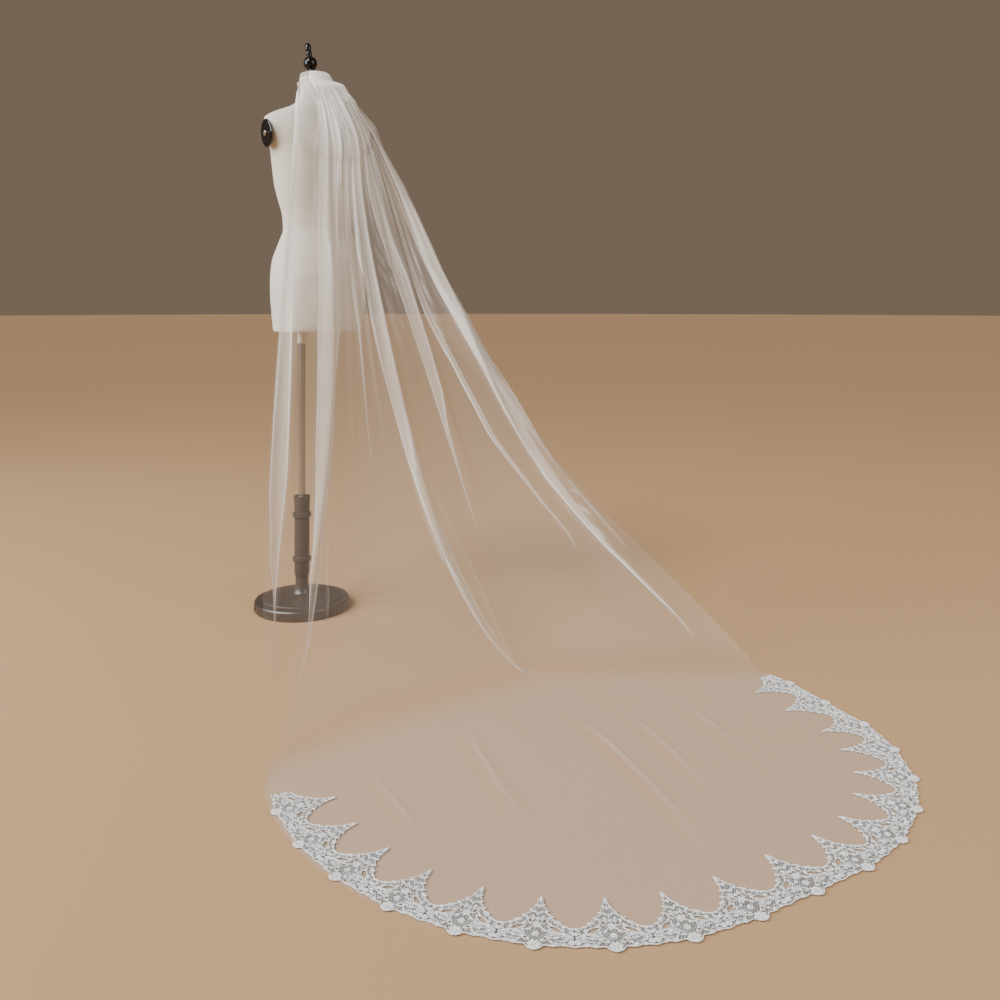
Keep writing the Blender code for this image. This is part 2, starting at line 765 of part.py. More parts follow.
def main():
    for obj in list(bpy.data.objects):
        bpy.data.objects.remove(obj, do_unlink=True)
    jersey = material("off_white_jersey", (0.74, 0.71, 0.64), 0.75)
    black = material("black_lacquer", (0.012, 0.011, 0.012), 0.18)
    steel = material("brushed_steel", (0.42, 0.40, 0.38), 0.32, metallic=1.0)
    paint = material("taupe_paint", (0.20, 0.155, 0.13), 0.45)
    plastic = material("pale_plastic", (0.62, 0.58, 0.52), 0.5)
    tulle = material("ivory_tulle", (0.86, 0.83, 0.78), 0.7, alpha=0.35)
    satin = material("ivory_band", (0.80, 0.79, 0.76), 0.5)
    lace = material("corded_lace", (0.80, 0.78, 0.75), 0.6)
    build_torso(jersey)
    build_plates(black, steel)
    build_neck_top(black)
    build_stand(paint, steel, plastic)
    build_tulle(tulle, satin)
    build_lace(lace)


main()
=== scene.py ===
"""Bridal veil on a limbless dress form: the looks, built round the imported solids."""

import math

import bmesh
import bpy
import numpy as np
from mathutils import Matrix, Vector
from mathutils.geometry import delaunay_2d_cdt


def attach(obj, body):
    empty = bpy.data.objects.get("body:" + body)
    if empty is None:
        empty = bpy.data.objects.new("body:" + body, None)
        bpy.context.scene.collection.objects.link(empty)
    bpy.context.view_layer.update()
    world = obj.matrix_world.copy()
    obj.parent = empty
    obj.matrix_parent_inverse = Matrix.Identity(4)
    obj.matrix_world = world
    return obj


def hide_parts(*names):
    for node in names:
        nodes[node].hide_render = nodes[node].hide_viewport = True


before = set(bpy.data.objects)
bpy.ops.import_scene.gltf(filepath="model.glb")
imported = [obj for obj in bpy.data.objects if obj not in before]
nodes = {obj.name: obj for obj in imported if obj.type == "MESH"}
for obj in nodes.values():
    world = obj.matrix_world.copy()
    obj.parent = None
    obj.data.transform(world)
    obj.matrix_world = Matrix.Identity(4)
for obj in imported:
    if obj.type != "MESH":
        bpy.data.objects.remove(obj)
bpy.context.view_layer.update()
bpy.ops.object.select_all(action="DESELECT")


# Stand base: a round casting with a stepped top, sprayed in semi-gloss taupe paint. It stands on
# the floor, and a strip of black rubber is let into its rim on one side.

BASE_SIDES = 96
EDGE_ANGLE = 35
STRIP_MIDDLE = math.radians(158)
STRIP_SPAN = math.radians(24)
STRIP_STEPS = 12
STRIP_RADIUS = 0.1387
STRIP_HEIGHT = 0.0135
STRIP_THICKNESS = 0.0014
STRIP_WIDTH = 0.017
STRIP_EDGE = 0.0004
BASE_PROFILE = (
    (0.136, 0.000),
    (0.139, 0.003),
    (0.139, 0.025),
    (0.1365, 0.0285),
    (0.132, 0.030),
    (0.120, 0.0318),
    (0.118, 0.033),
    (0.1155, 0.0358),
    (0.112, 0.0366),
    (0.070, 0.042),
    (0.033, 0.0455),
    (0.030, 0.046),
)


def linear(colour):
    """Linear RGBA of an sRGB hex colour."""
    parts = []
    for k in (0, 2, 4):
        value = int(colour[k : k + 2], 16) / 255
        parts.append(value / 12.92 if value <= 0.04045 else ((value + 0.055) / 1.055) ** 2.4)
    return (*parts, 1.0)


def add_node(mat, kind, settings=(), links=()):
    """One node: settings are inputs, properties or a ramp's stops, links (input, node, output)."""
    node = mat.node_tree.nodes.new("ShaderNode" + kind)
    for key, value in dict(settings).items():
        if key == "stops":
            for element, (position, colour) in zip(node.color_ramp.elements, value):
                element.position = position
                element.color = linear(colour)
        elif isinstance(key, int) or key in node.inputs:
            node.inputs[key].default_value = value
        else:
            setattr(node, key, value)
    for key, source, output in links:
        mat.node_tree.links.new(source.outputs[output], node.inputs[key])
    return node


def finish_material(name, settings):
    """New material whose shader has these settings."""
    mat = bpy.data.materials.new(name)
    mat.use_nodes = True
    for key, value in settings.items():
        mat.node_tree.nodes["Principled BSDF"].inputs[key].default_value = value
    return mat


def feed(mat, key, source, output):
    """Link a node's output to an input of the material's shader."""
    mat.node_tree.links.new(source.outputs[output], mat.node_tree.nodes["Principled BSDF"].inputs[key])


def taupe_paint():
    """Sprayed semi-gloss paint on a casting: faint orange peel and a little dust in the tone."""
    mat = finish_material("semi_gloss_taupe_paint", {"Roughness": 0.4, "Coat Weight": 0.15})
    place = add_node(mat, "TexCoord")
    # Patches of about 40 mm, where hands and dust have dulled the paint
    patch = add_node(mat, "TexNoise", {"Scale": 25.0, "Detail": 4.0}, [("Vector", place, "Object")])
    stops = ((0.3, "342b26"), (0.7, "43382f"))
    tone = add_node(mat, "ValToRGB", {"stops": stops}, [("Fac", patch, "Fac")])
    feed(mat, "Base Color", tone, "Color")
    # Orange peel of about 1.5 mm
    peel = add_node(mat, "TexNoise", {"Scale": 650.0, "Detail": 2.0}, [("Vector", place, "Object")])
    bump = add_node(mat, "Bump", {"Strength": 0.12, "Distance": 0.0006}, [("Height", peel, "Fac")])
    feed(mat, "Normal", bump, "Normal")
    gloss = add_node(
        mat,
        "MapRange",
        {"From Min": 0.3, "From Max": 0.7, "To Min": 0.34, "To Max": 0.46},
        [("Value", patch, "Fac")],
    )
    feed(mat, "Roughness", gloss, "Result")
    return mat


def take_up(name):
    """The primitive just added, with its place in its mesh, all selected in edit mode."""
    piece = bpy.context.object
    piece.name = piece.data.name = name
    bpy.ops.object.transform_apply(location=True, rotation=True, scale=True)
    bpy.ops.object.mode_set(mode="EDIT")
    bpy.ops.mesh.select_all(action="SELECT")
    return piece


def face_outwards():
    """Turn every face of the piece in edit mode outwards."""
    bpy.ops.mesh.select_all(action="SELECT")
    bpy.ops.mesh.normals_make_consistent(inside=False)


def put_down(piece, mat, angle):
    """Back to object mode, in its material and smooth up to this angle in degrees."""
    bpy.ops.object.mode_set(mode="OBJECT")
    piece.data.materials.append(mat)
    bpy.ops.object.shade_smooth_by_angle(angle=math.radians(angle))
    bpy.ops.object.select_all(action="DESELECT")
    return piece


def turned_piece(name, profile, sides, mat):
    """Round piece on the Z axis: a disc, extruded up and scaled to each (radius, height)."""
    radius, height = profile[0]
    foot = (0, 0, height)
    bpy.ops.mesh.primitive_circle_add(vertices=sides, radius=radius, fill_type="NGON", location=foot)
    piece = take_up(name)
    for next_radius, next_height in profile[1:]:
        rise = (0, 0, next_height - height)
        bpy.ops.mesh.extrude_region_move(TRANSFORM_OT_translate={"value": rise})
        scale = next_radius / radius
        bpy.ops.transform.resize(value=(scale, scale, 1.0), center_override=(0, 0, next_height))
        radius, height = next_radius, next_height
    face_outwards()
    return put_down(piece, mat, EDGE_ANGLE)


def black_rubber():
    """Moulded black rubber: matt, with a dusty bloom."""
    mat = finish_material("moulded_black_rubber", {"Roughness": 0.6})
    place = add_node(mat, "TexCoord")
    # Bloom in patches of 6 mm
    bloom = add_node(mat, "TexNoise", {"Scale": 160.0, "Detail": 3.0}, [("Vector", place, "Object")])
    stops = ((0.0, "0d0c0c"), (1.0, "221f1e"))
    tone = add_node(mat, "ValToRGB", {"stops": stops}, [("Fac", bloom, "Fac")])
    feed(mat, "Base Color", tone, "Color")
    return mat


def rim_strip(mat):
    """Strip let into the rim: an upright slip, spun round the base's axis and eased at its edges."""
    first = STRIP_MIDDLE - STRIP_SPAN / 2
    place = (STRIP_RADIUS * math.cos(first), STRIP_RADIUS * math.sin(first), STRIP_HEIGHT)
    bpy.ops.mesh.primitive_plane_add(size=1.0, location=place, rotation=(math.radians(90), 0, first))
    bpy.context.object.scale = (STRIP_THICKNESS, STRIP_WIDTH, 1.0)
    strip = take_up("rim_strip")
    # A minus sign, since spin goes clockwise seen from above
    bpy.ops.mesh.spin(steps=STRIP_STEPS, angle=-STRIP_SPAN, center=(0, 0, 0), axis=(0, 0, 1))
    face_outwards()
    bpy.ops.object.mode_set(mode="OBJECT")
    edge = strip.modifiers.new("edge", "BEVEL")
    edge.width = STRIP_EDGE
    edge.segments = 2
    bpy.ops.object.modifier_apply(modifier="edge")
    return put_down(strip, mat, EDGE_ANGLE)


paint = taupe_paint()
base = turned_piece("base_casting", BASE_PROFILE, BASE_SIDES, paint)
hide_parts("stand_base")
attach(base, "root")
strip = rim_strip(black_rubber())
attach(strip, "root")


# Stand column: a turned sleeve with two double rings, in the same sprayed paint. It is screwed
# into the base, and the pole slides in it.

TURNED_SIDES = 48
COLUMN_PROFILE = (
    (0.0280, 0.0463),
    (0.0245, 0.0515),
    (0.0210, 0.0583),
    (0.0192, 0.0690),
    (0.0190, 0.0913),
    (0.0205, 0.0990),
    (0.0225, 0.1043),
    (0.0225, 0.1375),
    (0.0240, 0.1392),
    (0.0272, 0.1405),
    (0.0275, 0.1430),
    (0.0275, 0.1490),
    (0.0272, 0.1515),
    (0.0240, 0.1528),
    (0.0225, 0.1545),
    (0.0225, 0.2695),
    (0.0240, 0.2712),
    (0.0272, 0.2725),
    (0.0275, 0.2750),
    (0.0275, 0.2810),
    (0.0272, 0.2835),
    (0.0240, 0.2848),
    (0.0225, 0.2865),
    (0.0240, 0.3330),
    (0.0236, 0.3345),
    (0.0215, 0.3350),
)

column = turned_piece("column_sleeve", COLUMN_PROFILE, TURNED_SIDES, paint)
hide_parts("stand_column")
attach(column, "root")


# Pole and collar: a drawn steel tube with a satin finish, and the pale moulded sleeve under the
# form that the tube runs into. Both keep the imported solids.


def satin_steel():
    """Satin chrome on drawn steel tube: long faint streaks, warm where it mirrors the floor."""
    mat = finish_material("satin_steel_tube", {"Metallic": 1.0, "Roughness": 0.3})
    place = add_node(mat, "TexCoord")
    # Draw marks 1 mm wide round the tube and 250 mm long
    stretch = add_node(mat, "Mapping", {"Scale": (1000.0, 1000.0, 4.0)}, [("Vector", place, "Object")])
    marks = add_node(mat, "TexNoise", {"Scale": 1.0, "Detail": 3.0}, [("Vector", stretch, "Vector")])
    stops = ((0.0, "8f8782"), (1.0, "c2bbb5"))
    tone = add_node(mat, "ValToRGB", {"stops": stops}, [("Fac", marks, "Fac")])
    feed(mat, "Base Color", tone, "Color")
    gloss = add_node(mat, "MapRange", {"To Min": 0.22, "To Max": 0.4}, [("Value", marks, "Fac")])
    feed(mat, "Roughness", gloss, "Result")
    return mat


def pale_plastic():
    """Moulded pale polypropylene: soft gloss and a fine spark-eroded grain."""
    mat = finish_material("moulded_pale_polypropylene", {"Roughness": 0.45, "IOR": 1.49})
    place = add_node(mat, "TexCoord")
    # Grain of 0.8 mm
    grain = add_node(mat, "TexNoise", {"Scale": 1250.0, "Detail": 2.0}, [("Vector", place, "Object")])
    stops = ((0.0, "cfc6ba"), (1.0, "ddd5ca"))
    tone = add_node(mat, "ValToRGB", {"stops": stops}, [("Fac", grain, "Fac")])
    feed(mat, "Base Color", tone, "Color")
    bump = add_node(mat, "Bump", {"Strength": 0.2, "Distance": 0.0003}, [("Height", grain, "Fac")])
    feed(mat, "Normal", bump, "Normal")
    return mat


steel = satin_steel()
nodes["stand_pole"].material_slots[0].material = steel
nodes["form_collar"].material_slots[0].material = pale_plastic()


# Torso of the form: a moulded body stretched over with off-white cotton jersey, closed flat at
# the bottom and at both armholes. It stands on the pole.

TORSO_SIDES = 96
TORSO_ROWS = 96
TORSO_EDGE_ANGLE = 40
TORSO_CENTRE_Y = -0.105
TORSO_FOOT = 0.830
TORSO_ROUNDING = 0.0015
TORSO_HEM = 0.835
NECK_TOP_Z = 1.566
NECK_TOP_Y = -0.088
NECK_LEAN_START = 1.480
ARMHOLE_X = 0.159
ARMHOLE_Z = 1.388
ARMHOLE_LEAN = math.radians(5)

# Each row is a section: height, half width, depth to the front and to the back.
TORSO_SECTIONS = (
    (0.830, 0.131, 0.112, 0.100),
    (0.835, 0.134, 0.115, 0.103),
    (0.880, 0.139, 0.119, 0.110),
    (0.930, 0.143, 0.120, 0.114),
    (0.975, 0.143, 0.116, 0.114),
    (1.030, 0.136, 0.107, 0.104),
    (1.085, 0.116, 0.094, 0.086),
    (1.124, 0.103, 0.085, 0.076),
    (1.165, 0.106, 0.088, 0.078),
    (1.211, 0.118, 0.102, 0.086),
    (1.258, 0.128, 0.116, 0.093),
    (1.305, 0.135, 0.113, 0.097),
    (1.350, 0.144, 0.095, 0.097),
    (1.390, 0.159, 0.081, 0.090),
    (1.416, 0.168, 0.070, 0.078),
    (1.434, 0.164, 0.060, 0.066),
    (1.450, 0.142, 0.052, 0.057),
    (1.465, 0.108, 0.047, 0.052),
    (1.480, 0.077, 0.046, 0.050),
    (1.500, 0.059, 0.046, 0.048),
    (1.530, 0.047, 0.044, 0.045),
    (1.566, 0.042, 0.042, 0.042),
)


def smooth(xs, ys, x):
    """Values at each x of a smooth curve through the rows, with no overshoot at a turning row."""
    xs = np.asarray(xs, float)
    ys = np.asarray(ys, float)
    steps = np.diff(xs)
    slopes = np.diff(ys) / steps
    tangents = np.concatenate([slopes[:1], np.zeros(len(xs) - 2), slopes[-1:]])
    before, after = slopes[:-1], slopes[1:]
    same = before * after > 0
    total = np.where(same, before + after, 1.0)
    tangents[1:-1] = np.where(same, 2 * before * after / total, 0.0)
    x = np.clip(np.asarray(x, float), xs[0], xs[-1])
    i = np.clip(np.searchsorted(xs, x, side="right") - 1, 0, len(xs) - 2)
    f = (x - xs[i]) / steps[i]
    start = (2 * f**3 - 3 * f**2 + 1) * ys[i] + (f**3 - 2 * f**2 + f) * steps[i] * tangents[i]
    end = (3 * f**2 - 2 * f**3) * ys[i + 1] + (f**3 - f**2) * steps[i] * tangents[i + 1]
    return start + end


def neck_shift(z):
    """How far forward the leaning neck has moved at height z."""
    lean = (z - NECK_LEAN_START) / (NECK_TOP_Z - NECK_LEAN_START)
    return (NECK_TOP_Y - TORSO_CENTRE_Y) * np.maximum(lean, 0.0)


def jersey():
    """Cotton jersey, stretched: matt, with fine knit columns that show as a faint grain."""
    settings = {"Roughness": 0.85, "Sheen Weight": 0.35, "Sheen Roughness": 0.4}
    mat = finish_material("off_white_cotton_jersey", settings)
    place = add_node(mat, "TexCoord")
    # Knit columns are 0.7 mm apart, drawn at 2 mm so that they show
    wales = add_node(
        mat,
        "TexWave",
        {"Scale": 160.0, "Distortion": 1.5, "Detail": 1.0, "bands_direction": "X"},
        [("Vector", place, "Object")],
    )
    # Uneven tension of about 60 mm
    tension = add_node(mat, "TexNoise", {"Scale": 16.0, "Detail": 3.0}, [("Vector", place, "Object")])
    stops = ((0.3, "d3cbbc"), (0.7, "ddd6c9"))
    tone = add_node(mat, "ValToRGB", {"stops": stops}, [("Fac", tension, "Fac")])
    feed(mat, "Base Color", tone, "Color")
    bump = add_node(mat, "Bump", {"Strength": 0.25, "Distance": 0.0006}, [("Height", wales, "Fac")])
    feed(mat, "Normal", bump, "Normal")
    return mat


def shape_ring(torso, row, before):
    """Bring the selected ring from the row before to this (width, front, back, centre) row."""
    width, front, back, centre = row
    old_width, old_front, old_back, old_centre = before
    middle = (0, old_centre, 0)
    bpy.ops.transform.resize(value=(width / old_width, 1.0, 1.0), center_override=middle)
    bm = bmesh.from_edit_mesh(torso.data)
    ring = [v for v in bm.verts if v.select]
    for side, scale in ((1, front / old_front), (-1, back / old_back)):
        bpy.ops.mesh.select_all(action="DESELECT")
        for v in ring:
            v.select = (v.co.y - old_centre) * side > 0
        bpy.ops.transform.resize(value=(1.0, scale, 1.0), center_override=middle)
    for v in ring:
        v.select = True
    bm.select_flush(True)
    bpy.ops.transform.translate(value=(0, centre - old_centre, 0))


def build_torso(mat):
    """A disc, extruded up ring by ring to the sections, and cut flat at both armholes."""
    levels, widths, fronts, backs = zip(*TORSO_SECTIONS)
    above = np.linspace(TORSO_HEM, NECK_TOP_Z, TORSO_ROWS)
    heights = np.concatenate([[TORSO_FOOT, TORSO_FOOT + TORSO_ROUNDING], above])
    columns = [smooth(levels, column, heights) for column in (widths, fronts, backs)]
    columns.append(TORSO_CENTRE_Y + neck_shift(heights))
    rows = np.column_stack(columns).tolist()
    foot = (0, TORSO_CENTRE_Y, TORSO_FOOT)
    bpy.ops.mesh.primitive_circle_add(vertices=TORSO_SIDES, radius=1.0, fill_type="NGON", location=foot)
    torso = take_up("torso_jersey")
    bpy.ops.mesh.select_mode(type="VERT")
    before = (1.0, 1.0, 1.0, TORSO_CENTRE_Y)
    for k, row in enumerate(rows):
        if k:
            rise = (0, 0, heights[k] - heights[k - 1])
            bpy.ops.mesh.extrude_region_move(TRANSFORM_OT_translate={"value": rise})
        shape_ring(torso, row, before)
        before = row
    face_outwards()
    for side in (-1, 1):
        bpy.ops.mesh.select_all(action="SELECT")
        out = (side * math.cos(ARMHOLE_LEAN), 0, -math.sin(ARMHOLE_LEAN))
        spot = (side * ARMHOLE_X, TORSO_CENTRE_Y, ARMHOLE_Z)
        bpy.ops.mesh.bisect(plane_co=spot, plane_no=out, use_fill=True, clear_outer=True)
    return put_down(torso, mat, TORSO_EDGE_ANGLE)


torso = build_torso(jersey())
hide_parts("form_torso")
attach(torso, "root")


# Neck cap, finial and armhole plates: turned and moulded in wood and plastic and lacquered gloss
# black, with a small steel boss in each armhole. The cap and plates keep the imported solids.

FINIAL_LEAN = math.radians(17)
FINIAL_SEAT = (0.0, NECK_TOP_Y + 0.023, NECK_TOP_Z + 0.0190)
FINIAL_STRETCH = 1.09
FINIAL_PROFILE = (
    (0.0105, -0.0080),
    (0.0110, -0.0002),
    (0.0120, 0.0000),
    (0.0125, 0.0015),
    (0.0125, 0.0030),
    (0.0100, 0.0048),
    (0.0085, 0.0070),
    (0.0082, 0.0100),
    (0.0090, 0.0125),
    (0.0120, 0.0150),
    (0.0150, 0.0182),
    (0.0175, 0.0220),
    (0.0190, 0.0260),
    (0.0196, 0.0310),
    (0.0193, 0.0355),
    (0.0182, 0.0398),
    (0.0158, 0.0440),
    (0.0122, 0.0472),
    (0.0086, 0.0494),
    (0.0068, 0.0520),
    (0.0078, 0.0550),
    (0.0092, 0.0585),
    (0.0093, 0.0635),
    (0.0080, 0.0665),
    (0.0068, 0.0690),
    (0.0080, 0.0722),
    (0.0092, 0.0765),
    (0.0093, 0.0815),
    (0.0085, 0.0860),
    (0.0066, 0.0898),
    (0.0035, 0.0922),
    (0.0010, 0.0925),
)


def black_lacquer():
    """Gloss black lacquer on turned wood: deep, with a slight ripple in its mirror."""
    settings = {"Roughness": 0.14, "Specular IOR Level": 0.3, "Coat Weight": 0.05, "Coat Roughness": 0.05}
    mat = finish_material("gloss_black_lacquer", settings)
    place = add_node(mat, "TexCoord")
    # Brush ripple of about 8 mm
    ripple = add_node(mat, "TexNoise", {"Scale": 120.0, "Detail": 2.0}, [("Vector", place, "Object")])
    stops = ((0.0, "0b0a0b"), (1.0, "171416"))
    tone = add_node(mat, "ValToRGB", {"stops": stops}, [("Fac", ripple, "Fac")])
    feed(mat, "Base Color", tone, "Color")
    bump = add_node(mat, "Bump", {"Strength": 0.1, "Distance": 0.0008}, [("Height", ripple, "Fac")])
    feed(mat, "Normal", bump, "Normal")
    return mat


lacquer = black_lacquer()
stretched = [(radius, height * FINIAL_STRETCH) for radius, height in FINIAL_PROFILE]
finial = turned_piece("turned_finial", stretched, TURNED_SIDES, lacquer)
finial.data.transform(Matrix.Translation(FINIAL_SEAT) @ Matrix.Rotation(-FINIAL_LEAN, 4, "X"))
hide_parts("neck_finial")
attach(finial, "root")
for name in ("neck_cap", "armhole_plate_left", "armhole_plate_right"):
    nodes[name].material_slots[0].material = lacquer
for name in ("armhole_boss_left", "armhole_boss_right"):
    nodes[name].material_slots[0].material = steel


# Tulle panel: one cut of soft ivory net with raw sides, gathered hard into its band, pleated by
# its own fullness down the back, and spread flat on the floor behind. The net is nearly clear in
# one layer and white where it is gathered or folded over itself. Its layer count also carries
# painted highlights at the pleats' turns and along its creases, painted shade beside the train's
# creases and a painted shadow line where it meets the floor.

FLAT_WIDTH = 1.50
CLOTH = 0.0012
REST_HEIGHT = 0.55 * CLOTH
NECK_RADIUS = 0.042
NECK_GAP = 0.0006
NECK_SLOPE = 0.14
BAND_TOP_Z = 1.563
BAND_HEIGHT = 0.007
HEADER_HEIGHT = 0.019
# Each row is a height above the band and how far the header leans outwards there
HEADER_SHAPE = ((0.0190, -0.0050), (0.0176, -0.0020), (0.0140, 0.0008), (0.0070, 0.0012), (0.0, 0.0))
HEADER_RUFFLE = 0.0007
# How far the net stands outside the ribbon, and over what length it gets there
BAND_COVER = 0.0030
COVER_START = 0.012
NECK_PUFF = 0.004
NECK_PUFF_REACH = 0.028
GATHERS = 17
GATHER_DEPTH = 0.0030
FINE_GATHER_DEPTH = 0.0008
HEM_TRIM = 0.012
GUIDE_LINES = 241
SLACK_RIDGES = 30
FINE_CREASES = 46
FINE_CREASE_HEIGHT = 0.0008
# How much denser the net looks than one flat layer: where it is full, in a pleat's own small
# folds, over the near shoulder, at a pleat's turn and on a crease (partly net seen edge-on,
# partly painted highlight, with painted shade beside the train's creases) and on the floor
FULL_DENSITY = 2.1
PLEAT_DENSITY = 1.1
SHOULDER_DENSITY = 1.6
TURN_DENSITY_AND_HIGHLIGHT = 15.0
CREASE_DENSITY_AND_PAINTED_LIGHT = 3.0
TRAIN_DENSITY = 1.2
# Along a line from where it meets the floor: from where and over what length the train looks
# denser, and how deep and wide the painted shadow line before it is, where the net is drawn thinner
TRAIN_BEGINS = (-0.02, 0.16)
PAINTED_SHADOW_LINE = 0.45
PAINTED_SHADOW_LINE_HALF = 0.07
# How far above the floor the pleats begin to spend themselves, and how much each thins at its end
PLEATS_SPENT = 0.34
PLEAT_THINNING = 0.55
LEAST_LAYERS = 0.4
# The least width that a bunch of net is taken to have, and the most fullness that counts
LEAST_WIDTH = 0.05
MOST_FULL = 9.0
# Rows of the header, as shares of its height from the top, and numbers of rows further down
HEADER_ROWS = (0.0, 0.3, 0.6, 0.85)
HANGING_ROWS = 164
TRAIN_ROWS = 36
ROW_CROWDING = 0.14
# Where the sagging stretch of a line begins, and how a line's points crowd there
SAG_START = 0.035
SAG_POINTS = 240
SAG_CROWDING = 1.7
# Points of the stretch over the shoulder, those that are kept, and the drop to the sagging one
SHOULDER_POINTS = 61
SHOULDER_KEPT = 46
SHOULDER_CLEARANCE = 0.012
# Long low ridges of the train: shares of the width, their half width, height, place and reach
TRAIN_RIDGES = (0.44, 0.58, 0.71)
TRAIN_RIDGE_HALF = 0.035
TRAIN_RIDGE_HEIGHT = 0.0022
TRAIN_RIDGE_MIDDLE = 0.25
TRAIN_RIDGE_REACH = 0.30

# Each row is one line of the panel from the neck to the floor: its share of the panel's width,
# its angle round the neck, where it passes the shoulder ridge, where it leaves the back or the
# shoulder, where it meets the floor, its sideways bow, and the two powers of its sag.
LINES = (
    (0.00, -120, (-0.084, -0.132, 1.494), (-0.119, -0.186, 1.360), (-0.535, -0.925), -0.028, 0.82, 1.16),
    (0.12, -45, (-0.026, -0.168, 1.485), (-0.034, -0.222, 1.360), (-0.440, -0.806), 0.029, 0.78, 1.21),
    (0.34, -18, (0.005, -0.172, 1.484), (0.014, -0.226, 1.362), (-0.130, -0.782), -0.008, 0.79, 1.30),
    (0.56, 8, (0.036, -0.172, 1.488), (0.060, -0.224, 1.365), (0.205, -0.790), -0.042, 0.82, 1.44),
    (0.68, 26, (0.064, -0.161, 1.493), (0.103, -0.211, 1.380), (0.355, -0.860), 0.008, 1.04, 1.90),
    (0.80, 44, (0.083, -0.144, 1.498), (0.145, -0.177, 1.403), (0.490, -0.975), 0.055, 0.97, 1.31),
    (0.92, 62, (0.097, -0.123, 1.505), (0.179, -0.129, 1.433), (0.610, -1.068), 0.014, 0.70, 1.04),
    (1.00, 85, (0.103, -0.096, 1.507), (0.184, -0.089, 1.437), (0.676, -1.140), 0.071, 0.45, 0.87),
)

# Each row is one broad fold: the crest's share of the width, its half width, its depth at the
# shoulder and at hip height, how far it runs from the neck, and how much it narrows.
FOLDS = (
    (0.035, 0.030, 0.010, 0.026, 1.62, 0.75),
    (0.120, 0.036, 0.010, 0.030, 1.58, 0.80),
    (0.205, 0.030, 0.008, 0.009, 1.05, 0.30),
    (0.290, 0.032, 0.010, 0.012, 1.30, 0.20),
    (0.385, 0.034, 0.003, 0.010, 1.10, 0.20),
    (0.470, 0.030, 0.006, 0.012, 1.20, 0.30),
    (0.560, 0.032, 0.012, 0.026, 1.66, 0.45),
    (0.625, 0.024, 0.002, 0.010, 1.25, 0.30),
    (0.690, 0.028, 0.010, 0.022, 1.50, 0.40),
    (0.750, 0.022, 0.001, 0.009, 1.15, 0.20),
    (0.810, 0.026, 0.010, 0.022, 1.55, 0.40),
    (0.870, 0.022, 0.002, 0.009, 1.30, 0.20),
    (0.930, 0.024, 0.008, 0.020, 1.70, 0.40),
    (0.978, 0.016, 0.006, 0.010, 1.20, 0.20),
)

# The hem on the floor is nearly round. Each row is its angle about the centre and its radius.
HEM_CENTRE = (0.070, -1.150)
HEM_RADII = (
    (-201, 0.644),
    (-185, 0.642),
    (-150, 0.648),
    (-125, 0.636),
    (-97, 0.606),
    (-75, 0.636),
    (-55, 0.654),
    (-37, 0.644),
    (-18, 0.612),
    (-1, 0.612),
)

# Pleats, where the net lies over itself in three layers. Each has the shares of the flat width at
# its two turns, then rows of distance below the band and the shares it reaches left and right.
PLEATS = (
    # Left ribbon
    (0.026, 0.052, (
        (0.10, 0.000, 0.018), (0.50, 0.000, 0.021), (0.98, 0.000, 0.029),
        (1.20, 0.000, 0.033), (1.38, 0.010, 0.030), (1.50, 0.027, 0.029),
        (1.62, 0.042, 0.043),
    )),
    # Second ribbon
    (0.115, 0.150, (
        (0.10, 0.080, 0.400), (0.20, 0.075, 0.330), (0.35, 0.075, 0.260),
        (0.50, 0.075, 0.225), (0.66, 0.083, 0.212), (0.77, 0.083, 0.204),
        (0.94, 0.088, 0.177), (1.09, 0.092, 0.170), (1.25, 0.104, 0.150),
        (1.42, 0.110, 0.145), (1.55, 0.128, 0.138), (1.64, 0.122, 0.124),
    )),
    # Over the hip
    (0.365, 0.390, (
        (0.20, 0.330, 0.440), (0.35, 0.300, 0.370), (0.50, 0.318, 0.350),
        (0.60, 0.345, 0.368), (0.75, 0.372, 0.392), (0.90, 0.372, 0.386),
        (1.05, 0.372, 0.378),
    )),
    # Middle ribbon
    (0.548, 0.580, (
        (0.10, 0.480, 0.580), (0.34, 0.440, 0.565), (0.53, 0.433, 0.562),
        (0.66, 0.479, 0.565), (0.79, 0.500, 0.567), (0.93, 0.521, 0.578),
        (1.05, 0.531, 0.587), (1.20, 0.537, 0.580), (1.40, 0.546, 0.584),
        (1.60, 0.555, 0.582), (1.72, 0.560, 0.566),
    )),
    # Fourth ribbon
    (0.655, 0.680, (
        (0.12, 0.600, 0.655), (0.40, 0.606, 0.664), (0.53, 0.626, 0.678),
        (0.63, 0.642, 0.690), (0.72, 0.654, 0.690), (0.85, 0.662, 0.692),
        (0.96, 0.667, 0.691), (1.05, 0.668, 0.680), (1.18, 0.670, 0.676),
        (1.31, 0.666, 0.668),
    )),
    # Fifth ribbon
    (0.790, 0.818, (
        (0.12, 0.672, 0.716), (0.36, 0.698, 0.727), (0.52, 0.698, 0.727),
        (0.65, 0.704, 0.730), (0.77, 0.713, 0.735), (0.92, 0.736, 0.750),
        (1.06, 0.748, 0.760), (1.15, 0.753, 0.764), (1.27, 0.770, 0.779),
        (1.37, 0.784, 0.790), (1.47, 0.802, 0.805),
    )),
    # Right ribbon
    (0.890, 0.930, (
        (0.12, 0.735, 0.800), (0.42, 0.756, 0.836), (0.56, 0.759, 0.842),
        (0.72, 0.767, 0.848), (0.88, 0.783, 0.858), (1.02, 0.793, 0.866),
        (1.15, 0.797, 0.876), (1.26, 0.806, 0.886), (1.39, 0.820, 0.895),
        (1.54, 0.868, 0.906), (1.66, 0.904, 0.918), (1.80, 0.929, 0.933),
    )),
    # Outer ribbon
    (0.948, 0.966, (
        (0.12, 0.880, 0.925), (0.50, 0.900, 0.940), (0.90, 0.915, 0.950),
        (1.25, 0.935, 0.958), (1.45, 0.948, 0.960), (1.60, 0.956, 0.958),
    )),
)
